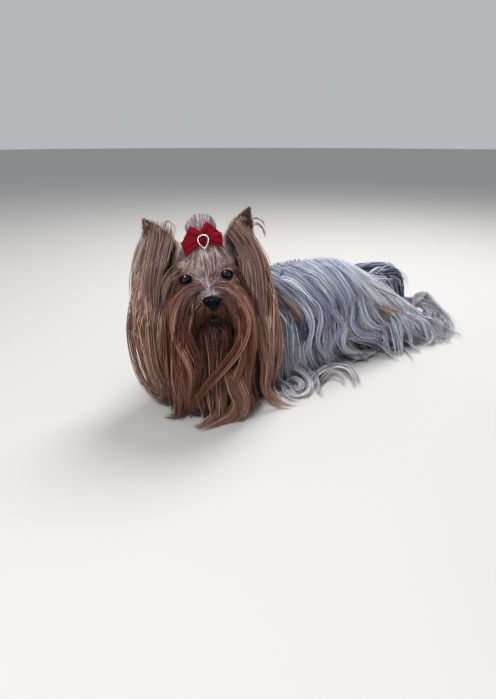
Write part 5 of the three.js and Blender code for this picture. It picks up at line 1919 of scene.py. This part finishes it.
growMane()
growNeck()
growRump()
finishCoat("mane_hair", "silver_coat", "hair", "body", "mane")


# Topknot and forehead: drawn up into the band and over the dome

topknotLook = {**fallLook, "locks": 75, "each": 8, "rings": 12, "spread": 1.5, "depth": 0.8, "gather": 0.8,
               "stray": 0.35, "width": 0.9, "wild": 0.05, "uneven": 0.3}
foreheadLook = {**fallLook, "locks": 230, "each": 7, "rings": 8, "spread": 1.7, "depth": 0.8, "gather": 0.7,
                "gatherFrom": 0.2, "stray": 0.45, "width": 0.56, "lift": 0.8, "wild": 0.05, "root": 0.15}
dome = {"centre": (-21, 1, 42.5), "radii": (13.4, 14.4, 12.0)}


def growTopknot():
    n = grown(topknotLook["locks"])
    across = np.clip(rng.normal(0, 0.5, n), -0.97, 0.97)
    a = np.linspace(-0.75, 4.1, 33)[None, :]
    lean = across * math.pi / 2
    c, r = dome["centre"], dome["radii"]
    layer = rng.uniform(0.86, 1.02, n)[:, None]
    tightness = 0.72 + 0.28 * np.sin(np.clip(a + 0.75, 0, 4.85) / 4.85 * math.pi) ** 0.6
    tucked = lean[:, None] * tightness
    x = c[0] + r[0] * layer * np.cos(tucked) * np.cos(a)
    y = c[1] + r[1] * layer * np.sin(tucked)
    z = c[2] + r[2] * layer * np.cos(tucked) * np.sin(a)
    guides = fromHead(columns(x, y, z))
    out = unit(guides - fromHead(c))
    dark = np.abs(across - 0.42) < 0.09

    def tone(roots, which, strands, locks):
        level = levels(which, strands, locks, 0.42, 0.07, 0.09) - 0.3 * dark[which]
        return [mixed(shade("knot", level + step), shade("silver", level + step), 0.3)
                for step in (-0.06, -0.11)]

    growLocks("crown_hair", guides, out, topknotLook, tone)


def growForehead():
    n = grown(foreheadLook["locks"])
    y = rng.uniform(-1, 1, n) * 23
    low = rng.random(n) ** 0.8
    base = 3 + 6 * ease((np.abs(y) - 7) / 6)
    z = base + (24 - base) * (1 - low)
    roots = onSkin(fromHead(columns(-2 - 0.5 * (z - 3) - 0.012 * y**2, y, z)))
    band = fromHead(columns(-8.5, 0.36 * y, 33))
    tuck = fromHead(columns(-14, 0.28 * y, 37))
    local, top = toHead(roots), toHead(band)
    full = 1.5 + 2 * rng.random(n)[:, None]
    first = fromHead(local * 0.78 + top * 0.22 + full * (1, 0, 0.3))
    middle = fromHead(local * 0.45 + top * 0.55 + full * (1.3, 0, 0.6) + columns(0, 0.1 * y, 0))
    guides = through(np.stack([roots, first, middle, band, tuck], 1), 25)
    out = unit(guides - fromHead((-26, 0, 8)))

    def tone(roots, which, strands, locks):
        level = levels(which, strands, locks, 0.42, 0.12, 0.09) + 0.16 * swell(roots, 7, 50)
        local = toHead(roots)
        patch = np.exp(-((np.abs(local[:, 1]) - 11) / 4.5) ** 2 - ((local[:, 2] - 9) / 5) ** 2)
        warm = np.clip((swell(roots, 6, 51) > 0.45) * 0.35 + 0.8 * patch, 0, 0.8)
        level = level + 0.06 - 0.1 * patch - 0.08 * ease((np.abs(local[:, 1]) - 16) / 6)
        root = mixed(shade("brow", level), shade("gold", level + 0.05), warm)
        temple = 0.75 * ease((np.abs(local[:, 1]) - 13) / 7)
        end = mixed(shade("brow", level + 0.04), shade("gold", level + 0.2), warm)
        return mixed(root, shade("sable", level), temple), mixed(end, shade("sable", level + 0.15), temple)

    growLocks("crown_hair", guides, out, foreheadLook, tone)


growTopknot()
growForehead()
growFrontLocks("crown_hair")
finishCoat("crown_hair", "topknot_hair", "hair", "head", "topknot")


# Short fur of the face and ears: tufts that follow the lie of the coat

tuft = {"thin": 0.35, "twist": 0.3, "taper": 0.35}
combing = [  # place in the head's frame on its left side, then which way the hair points there
    ((24, 3, -9), (-0.5, 0.75, 0.3)),
    ((12, 3, -5), (-0.45, 0.85, 0.25)),
    ((3, 2, -2), (-0.3, 0.4, 0.85)),
    ((-4, 4, 6), (-0.3, 0.25, 0.9)),
    ((-8, 16, 14), (-0.45, 0.15, 0.85)),
    ((2, 10, -7), (-0.3, 0.9, -0.1)),
    ((12, 10, -9), (-0.35, 0.85, -0.35)),
    ((24, 9, -18), (-0.3, 0.7, -0.65)),
    ((12, 13, -20), (-0.4, 0.45, -0.8)),
    ((0, 18, -12), (-0.4, 0.7, -0.6)),
    ((-6, 28, -4), (-0.6, 0.75, -0.25)),
    ((-8, 29, -18), (-0.4, 0.5, -0.8)),
    ((-22, 31, 6), (-0.55, 0.75, 0.1)),
    ((-26, 20, 28), (-0.5, 0.3, 0.75)),
    ((-14, 20, -30), (-0.3, 0.3, -0.9)),
    ((10, 6, -31), (-0.1, 0.15, -1.0)),
    ((-45, 20, 20), (-0.8, 0.3, 0.1)),
]
faceLook = {"count": 9600, "long": 9.0, "rings": 4, "width": 0.55,
            "muzzleLine": (0.03, 0.035, 0.06), "lidShade": (0.03, 0.016, 0.012)}


def combedWay(local):  # in the dog's frame
    side = np.sign(local[:, 1:2]) + (local[:, 1:2] == 0)
    folded = local * np.concatenate([np.ones_like(side), side, np.ones_like(side)], 1)
    total = 0
    for place, way in combing:
        weight = 1 / (np.square(folded - np.array(place)).sum(1, keepdims=True) + 6) ** 1.6
        total = total + weight * np.array(way)
    total = total * np.concatenate([np.ones_like(side), side, np.ones_like(side)], 1)
    return unit(total @ headAxes)


def growFaceFur():
    n = int(faceLook["count"] * coatShare)

    def keep(points):
        local = toHead(points)
        face = ease((local[:, 0] + 40) / 14) * (points[:, 2] > 98) * (local[:, 2] < 34)
        for side in (1, -1):
            face = face * (openingOf(local, side) > 1.13)
        return face * (0.35 + 0.65 * ease((local[:, 0] + 24) / 14))

    roots = skinSpots(n, keep)
    local = toHead(roots)
    long = faceLook["long"] * rng.uniform(0.6, 1.3, n)
    onLid = np.minimum(openingOf(local, 1), openingOf(local, -1))
    long = long * (0.16 + 0.84 * ease((onLid - 1.1) / 1.1))
    long = long * (0.55 + 0.45 * ease(np.abs(local[:, 1]) / 9 + (local[:, 2] > 0)))
    nearNose = np.linalg.norm(local - np.array(nose["centre"]), axis=1)
    long = long * (0.4 + 0.6 * ease((nearNose - 8) / 8))
    path = [roots]
    eye = np.where((local[:, 1] > 0)[:, None], eyeCentre(1), eyeCentre(-1))
    away = unit((local - eye) * (0.2, 1, 1)) @ headAxes
    way = unit(mixed(away, combedWay(local), ease((onLid - 1.15) / 0.7)))
    for i in range(1, faceLook["rings"]):
        out = outwardAt(path[-1])
        flat = unit(way - out * (way * out).sum(1, keepdims=True) * 0.85 + 0.08 * rng.normal(size=(n, 3)))
        step = path[-1] + flat * (long / (faceLook["rings"] - 1))[:, None]
        step = keptOff(step, np.full(n, 0.25 + 0.42 * i), 2)
        path.append(step)
        way = unit(0.6 * flat + 0.4 * combedWay(toHead(step)) + (0, 0, -0.08))
    paths = np.stack(path, 1)
    level = 0.5 + 0.16 * swell(roots, 9, 120) + rng.normal(0, 0.12, n)
    brow = ease((local[:, 2] - 2) / 7) * ease((16 - np.abs(local[:, 1])) / 8)
    bridge = ease((10 - np.abs(local[:, 1])) / 6) * ease((local[:, 2] + 14) / 6)
    pale = np.maximum(brow, 0.8 * bridge)
    low = ease((-9 - local[:, 2]) / 8)
    base = mixed(mixed(shade("cheek", level + 0.05), shade("brow", level - 0.1), ease((local[:, 2] - 6) / 5)),
                 shade("russet", level + 0.12), low)
    base = mixed(base, shade("brow", level - 0.05), pale * (1 - 0.6 * low))
    # darker on the chin and the upper lip: partly dark hair, partly painted shade under the nose and muzzle
    chin = ease((-22 - local[:, 2]) / 4) * ease((20 - np.abs(local[:, 1])) / 4)
    base = mixed(base, shade("chin", level), chin)
    lips = ease((-13 - local[:, 2]) / 5) * ease((local[:, 0] - 4) / 8) * 0.75
    base = mixed(base, shade("chin", level + 0.12), lips)
    nearNose = ease((15 - nearNose) / 6)
    base = mixed(base, shade("cheek", level - 0.1), 0.7 * nearNose * (1 - lips))
    onBridge = ease((9 - np.abs(local[:, 1])) / 5) * ease((local[:, 2] + 15) / 5)
    onBridge = onBridge * ease((local[:, 0] + 1) / 5)
    base = mixed(base, shade("knot", level + 0.02), onBridge)
    middle = np.exp(-(((local[:, 1] - 0.6) / 0.9) ** 2)) * ease((local[:, 0] - 8) / 5) * 0.8
    base = mixed(base, faceLook["muzzleLine"], middle)
    # painted shade: the sides of the face beyond the eyes are darker russet
    outer = ease((np.abs(local[:, 1] - 3) - 22) / 5) * ease((13 - local[:, 2]) / 5)
    base = mixed(base, shade("russet", level - 0.05), 0.85 * outer)
    nearLid = 1 - ease((onLid - 1.15) / (0.5 + 0.5 * ease((local[:, 2] + 2) / 5)))
    base = mixed(base, faceLook["lidShade"], 0.75 * nearLid)
    # painted shade under the ears: the temples are darker sable
    temple = ease((np.abs(local[:, 1]) - 19) / 6) * ease((local[:, 2] + 4) / 8)
    base = mixed(base, shade("sable", level - 0.25), 0.9 * temple)
    width = faceLook["width"] * rng.uniform(0.7, 1.2, n)
    clear = ~overEyes(paths, 1.06)
    addStrands("face_fur", paths[clear], outwardAt(paths[clear]), width[clear],
               [base[clear] * 0.8, np.minimum(base[clear] * 1.2, 0.9)], **tuft)


earFurLook = {"count": 1350, "long": 6.0, "rings": 4, "width": 0.55}


def growEarFur(side):
    n = int(earFurLook["count"] * coatShare)
    edge = rng.random(n) < 0.3
    up = rng.uniform(-2, ear["height"] - 2, n)
    share = np.where(edge, rng.choice([-1.0, 1.0], n) * rng.uniform(0.93, 1.0, n),
                     rng.uniform(-0.95, 0.95, n))
    face = rng.choice([2.1, 0.1], n)
    across = share * np.maximum(earHalfWidth(up) - 0.8, 0.4)
    roots = onSkin(earPoint(side, across, up, face), 2)
    axes = earAxes(side) @ headAxes
    outer = np.sign(share)[:, None] * axes[0]
    way = unit(axes[1] * 0.9 + outer * np.where(edge, 0.7, 0.25)[:, None] + 0.12 * rng.normal(size=(n, 3)))
    long = earFurLook["long"] * rng.uniform(0.5, 1.2, n) * (0.5 + 0.5 * ease((ear["height"] - up) / 25))
    long = np.where(edge, long * 0.7, long)
    facing = axes[2] * np.sign(face - 1.1)[:, None]
    path = [roots]
    for i in range(1, earFurLook["rings"]):
        lift = facing * (0.5 if i == 1 else 0.12)
        path.append(path[-1] + (way + lift * (1 - edge)[:, None])
                    * (long / (earFurLook["rings"] - 1))[:, None])
    paths = np.stack(path, 1)
    level = 0.5 + rng.normal(0, 0.13, n)
    # painted shade: the fur on the ear's front darkens towards the ear's base, in its hollow
    tone = np.where((face > 1)[:, None], shade("sable", level - 0.5 + 0.006 * (up - 20)),
                    shade("cheek", level))
    # the edge fringe: paler hair, partly painted rim light
    tone = np.where(edge[:, None], shade("cheek", level + 0.2), tone)
    width = earFurLook["width"] * rng.uniform(0.7, 1.2, n)
    addStrands("ear_fur", paths, np.broadcast_to(facing[:, None], paths.shape), width,
               [tone * 0.85, np.minimum(tone * 1.15, 0.9)], **tuft)


growFaceFur()
growEarFur(1)
growEarFur(-1)
finishCoat("face_fur", "gold_coat", "dullHair", "head")
finishCoat("ear_fur", "gold_coat", "dullHair", "head")


# Tail plume

tailLook = {**bodyLook, "locks": 100, "each": 9, "rings": 11, "spread": 2.6, "depth": 1.6, "width": 1.2,
            "stray": 1.0, "gather": 0.5}


def growTail():
    n = grown(tailLook["locks"])
    line = np.array(tailLine, float)
    dense = through(line[None, :, :3], 61)[0]
    even = np.linspace(0, 1, 61)
    halves = columns(*(np.interp(even, np.linspace(0, 1, 6), line[:, i]) for i in (3, 4)))
    begin = rng.uniform(0, 0.55, n)
    end = np.clip(begin + rng.uniform(0.4, 0.75, n), 0, 1)
    turn = rng.uniform(-math.pi, math.pi, n)
    ring = rng.uniform(0.35, 0.98, n)
    t = np.linspace(0, 1, 25)[None, :]
    low, part = between((begin[:, None] + (end - begin)[:, None] * t) * 60, 60)
    centre = mixed(dense[low], dense[low + 1], part)
    half = mixed(halves[low], halves[low + 1], part)
    way = unit(np.gradient(centre, axis=1))
    wide = unit(np.cross(way, np.cross(alongX, way)))
    deep = np.cross(way, wide)
    fullness = 0.3 + 0.7 * ease(t * 2.2)
    cos, sin = np.cos(turn)[:, None, None], np.sin(turn)[:, None, None]
    radial = wide * (half[..., :1] * cos) + deep * (half[..., 1:] * sin)
    guides = centre + radial * (ring[:, None] * fullness)[..., None]
    out = unit(radial)

    def tone(roots, which, strands, locks):
        level = levels(which, strands, locks, 0.36, 0.1, 0.1)
        silver = (rng.random(strands) < 0.16) * 0.8
        return [mixed(shade("steel", level + step), shade("silver", level + step), silver)
                for step in (0.0, 0.1)]

    growLocks("tail_coat", guides, out, tailLook, tone)


# painted highlight: the silver locks on top stand for lit hair; the steel ones are the tail's own dark hair
tailLocks = [  # locks of the tail over the photo, with their heights over the floor: tone and level first
    ("silver", 0.5, [(350, 269, 92), (362, 265, 98), (376, 263, 98), (389, 266, 90), (399, 273, 78),
                     (405, 284, 62)]),
    ("steel", 0.6, [(354, 268, 90), (368, 266, 94), (382, 267, 90), (393, 273, 80), (401, 283, 66)]),
    ("steel", 0.5, [(358, 269, 86), (371, 271, 85), (384, 277, 76), (395, 287, 60)]),
    ("steel", 0.42, [(362, 272, 80), (375, 277, 76), (387, 285, 62)]),
    ("steel", 0.45, [(360, 269, 86), (374, 269, 88), (387, 274, 80), (396, 283, 68)]),
    ("silver", 0.42, [(366, 266, 95), (380, 264, 96), (393, 268, 86), (402, 277, 72), (407, 288, 56)]),
]


def growTailLocks():
    for palette, level, path in tailLocks:
        line = np.array([seenAt(*knot) for knot in path])
        guides = through(line[None] + rng.normal(0, 1, (6, len(line), 3)) * (3, 3, 1), 33)
        out = np.broadcast_to(unit(np.array([0.4, -0.2, 0.9])), guides.shape)
        look = {**tailLook, "each": grown(tailLook["each"], 1), "rings": 12, "width": 0.9, "root": 0.2,
                "uneven": 0.3}
        growLocks("tail_coat", guides, out, look,
                  tracedTone(palette, (level - 0.2, level, level + 0.05, level)))


growTail()
growTailLocks()
finishCoat("tail_coat", "tail_coat", "hair", "body")


# Hind feet: wispy hair thrown back over the floor

footLocks = [  # loops of the left hind foot over the photo, with their heights over the floor
    [(406, 303, 40), (416, 297, 40), (428, 295, 34), (438, 303, 26), (446, 316, 15), (451, 330, 6),
     (449, 341, 2)],
    [(408, 308, 36), (420, 304, 34), (432, 308, 27), (441, 319, 17), (446, 332, 7), (440, 341, 2)],
    [(410, 314, 30), (422, 314, 27), (432, 322, 19), (438, 334, 9), (445, 343, 2)],
    [(406, 322, 24), (415, 329, 17), (426, 334, 11), (437, 340, 5), (448, 343, 2)],
    [(412, 318, 26), (424, 318, 22), (434, 325, 15), (436, 334, 9), (428, 337, 8), (423, 331, 13)],
    [(400, 329, 18), (410, 337, 9), (422, 341, 4), (435, 345, 2)],
    [(413, 308, 34), (416, 298, 42), (424, 292, 43), (433, 296, 36), (440, 306, 26), (449, 308, 22)],
    [(405, 306, 38), (412, 312, 32), (416, 322, 22), (420, 333, 11), (428, 341, 3)],
    [(418, 300, 38), (430, 302, 32), (441, 310, 22), (450, 322, 10), (455, 336, 2)],
    [(424, 325, 18), (434, 330, 11), (443, 336, 5), (452, 340, 2)],
    [(396, 298, 48), (408, 298, 44), (420, 303, 36), (429, 313, 24), (433, 325, 13), (431, 336, 6)],
]


def footTone(roots, which, n, count):
    level = levels(which, n, count, 0.54, 0.1, 0.1)
    return [mixed(shade("cream", level + step), shade("silver", level + step), 0.35)
            for step in (-0.14, 0.0, 0.16)]


footLook = {**bodyLook, "strands": 56, "apart": 3.2, "rings": 14, "spread": 2.4, "depth": 2.0, "gather": 0.7,
            "gatherFrom": 0.1, "width": 0.62, "stray": 1.6, "root": 0.3, "uneven": 0.4, "pile": 2.0}
hindFootLook = {**bodyLook, "locks": {1: 48, -1: 70}, "each": 6, "rings": 9, "spread": 2.6, "depth": 2.2,
                "gather": 0.8, "stray": 1.4, "width": 0.8, "wild": 0.12, "pile": 2.0}
pawLook = {"count": 900, "rings": 5, "width": 0.9, "step": (1.2, 2.4)}


def growFootLocks():
    for path in footLocks:
        line = np.array([seenAt(*knot) for knot in path])
        n = 7
        guides = through(line[None] + rng.normal(0, 1, (n, len(line), 3)) * (0.8, 0.8, 0.5)
                         * footLook["apart"], 33)
        guides[..., 2] = np.maximum(guides[..., 2], 1.2)
        guides[..., 1] = np.minimum(guides[..., 1], coatEnd)
        out = np.broadcast_to(unit(np.array([0.4, -0.2, 0.9])), guides.shape)
        look = {**footLook, "each": grown(footLook["strands"], 1, n)}
        growLocks("foot_hair", guides, out, look, footTone)


footRows = [(322, 19, 17, 24), (348, 21, 22, 29), (376, 16, 21, 25), (401, 5, 14, 11)]


def growHindFoot(side):
    n = grown(hindFootLook["locks"][side])
    rows = np.array(footRows, float)
    y = rng.uniform(292, 372, n)
    turn = rng.uniform(-0.3, math.pi + 0.3, n)
    height, halfX, halfZ = (np.interp(y, rows[:, 0], rows[:, i]) for i in (1, 2, 3))
    deep = rng.uniform(0.3, 0.8, n)
    start = columns(38 * side + halfX * np.cos(turn) * deep, y,
                    np.maximum(height + halfZ * np.sin(turn) * deep, 2))
    heading = math.pi / 2 + rng.normal(0, 0.55, n)
    radius = rng.uniform(10, 34, n) * rng.choice([-1.0, 1.0], n)
    long = np.minimum(rng.uniform(28, 62, n), (coatEnd - y) * 1.25)
    guides = curling(start, heading, long, radius, rng.uniform(0, 5, n))
    guides[..., 1] = np.minimum(guides[..., 1], coatEnd - 2)
    out = awayFrom(guides, 4, 38 * side)

    def tone(roots, which, strands, locks):
        level = levels(which, strands, locks, 0.58, 0.1, 0.12)
        tan = np.exp(-(((roots[:, 1] - 318) / 14) ** 2)) * 0.8
        return [mixed(shade("cream", level - 0.2), shade("gold", level - 0.2), tan),
                shade("cream", level + 0.12)]

    growLocks("foot_hair", guides, out, hindFootLook, tone)




def growPawFur():
    n = int(pawLook["count"] * coatShare)

    def keep(points):
        return ((points[:, 2] < 30) & (points[:, 2] > 1) & (points[:, 1] < 30)).astype(float)

    roots = skinSpots(n, keep)
    way = unit(np.array([0.1, -0.9, -0.35]) + 0.15 * rng.normal(size=(n, 3)))
    path = [roots]
    for i in range(1, pawLook["rings"]):
        out = outwardAt(path[-1])
        flat = unit(way - out * (way * out).sum(1, keepdims=True) * 0.9)
        step = keptOff(path[-1] + flat * rng.uniform(*pawLook["step"], (n, 1)), np.full(n, 0.3 + 0.4 * i), 2)
        step[:, 2] = np.maximum(step[:, 2], 0.5)
        path.append(step)
    paths = np.stack(path, 1)
    tone = shade("gold", 0.5 + rng.normal(0, 0.13, n))
    width = pawLook["width"] * rng.uniform(0.7, 1.2, n)
    addStrands("foot_hair", paths, outwardAt(paths), width, [tone * 0.8, tone * 1.15], **tuft)


growFootLocks()
growHindFoot(1)
growHindFoot(-1)
growPawFur()
finishCoat("foot_hair", "silver_coat", "dullHair", "body")
print("coat:", sum(totals), "triangles in", len(totals), "pieces")


# Floor, light and camera

studio = {"floor": (0.5, 0.49, 0.48), "sky": (0.93, 0.96, 1.0), "skyPower": 0.5, "keyPower": 24.0,
          "fillPower": 2.7, "catchPower": 7.5}


def makeStage():
    bpy.ops.mesh.primitive_circle_add(vertices=96, radius=9, fill_type="NGON", location=(0, 0, 0))
    floor = bpy.context.object
    floor.name = "studioFloor"
    material = newMaterial("paleFloor", {"Roughness": 0.9, "Base Color": (*studio["floor"], 1)})[0]
    floor.data.materials.append(material)
    world = bpy.data.worlds.new("studioSky")
    world.use_nodes = True
    background = world.node_tree.nodes["Background"]
    background.inputs["Color"].default_value = (*studio["sky"], 1)
    background.inputs["Strength"].default_value = studio["skyPower"]
    bpy.context.scene.world = world


def addLamp(name, at, target, size, power, colour):
    data = bpy.data.lights.new(name, "AREA")
    data.shape, data.size, data.energy, data.color = "DISK", size, power, colour
    lamp = bpy.data.objects.new(name, data)
    bpy.context.scene.collection.objects.link(lamp)
    lamp.location = at
    lamp.rotation_euler = (Vector(target) - Vector(at)).to_track_quat("-Z", "Y").to_euler()


makeStage()
middle = Vector((0.02, -0.05, 0.08))
headPlace = Vector((eyesAt + rowShift) * metre)
addLamp("keyLight", (-0.35, 0.55, 1.3), middle, 0.8, studio["keyPower"], (1, 0.99, 0.97))
addLamp("catchLight", (0.55, -0.75, 0.85), headPlace, 0.3, studio["catchPower"], (1, 1, 1))
addLamp("fillLight", (0.65, -1.2, 0.9), middle, 1.0, studio["fillPower"], (0.95, 0.97, 1))


def makeCamera():
    data = bpy.data.cameras.new("photoCamera")
    data.sensor_width = 36
    data.lens = data.sensor_width * view["focal"] / max(view["photoSize"])
    camera = bpy.data.objects.new("photoCamera", data)
    bpy.context.scene.collection.objects.link(camera)
    camera.location = Vector((np.array(view["at"]) + rowShift) * metre)
    camera.rotation_euler = Vector(lookAlong).to_track_quat("-Z", "Y").to_euler()
    data.clip_start, data.clip_end = 0.01, 60
    bpy.context.scene.camera = camera


makeCamera()
scene = bpy.context.scene
scene.view_settings.view_transform = "Standard"
scene.view_settings.look = "None"
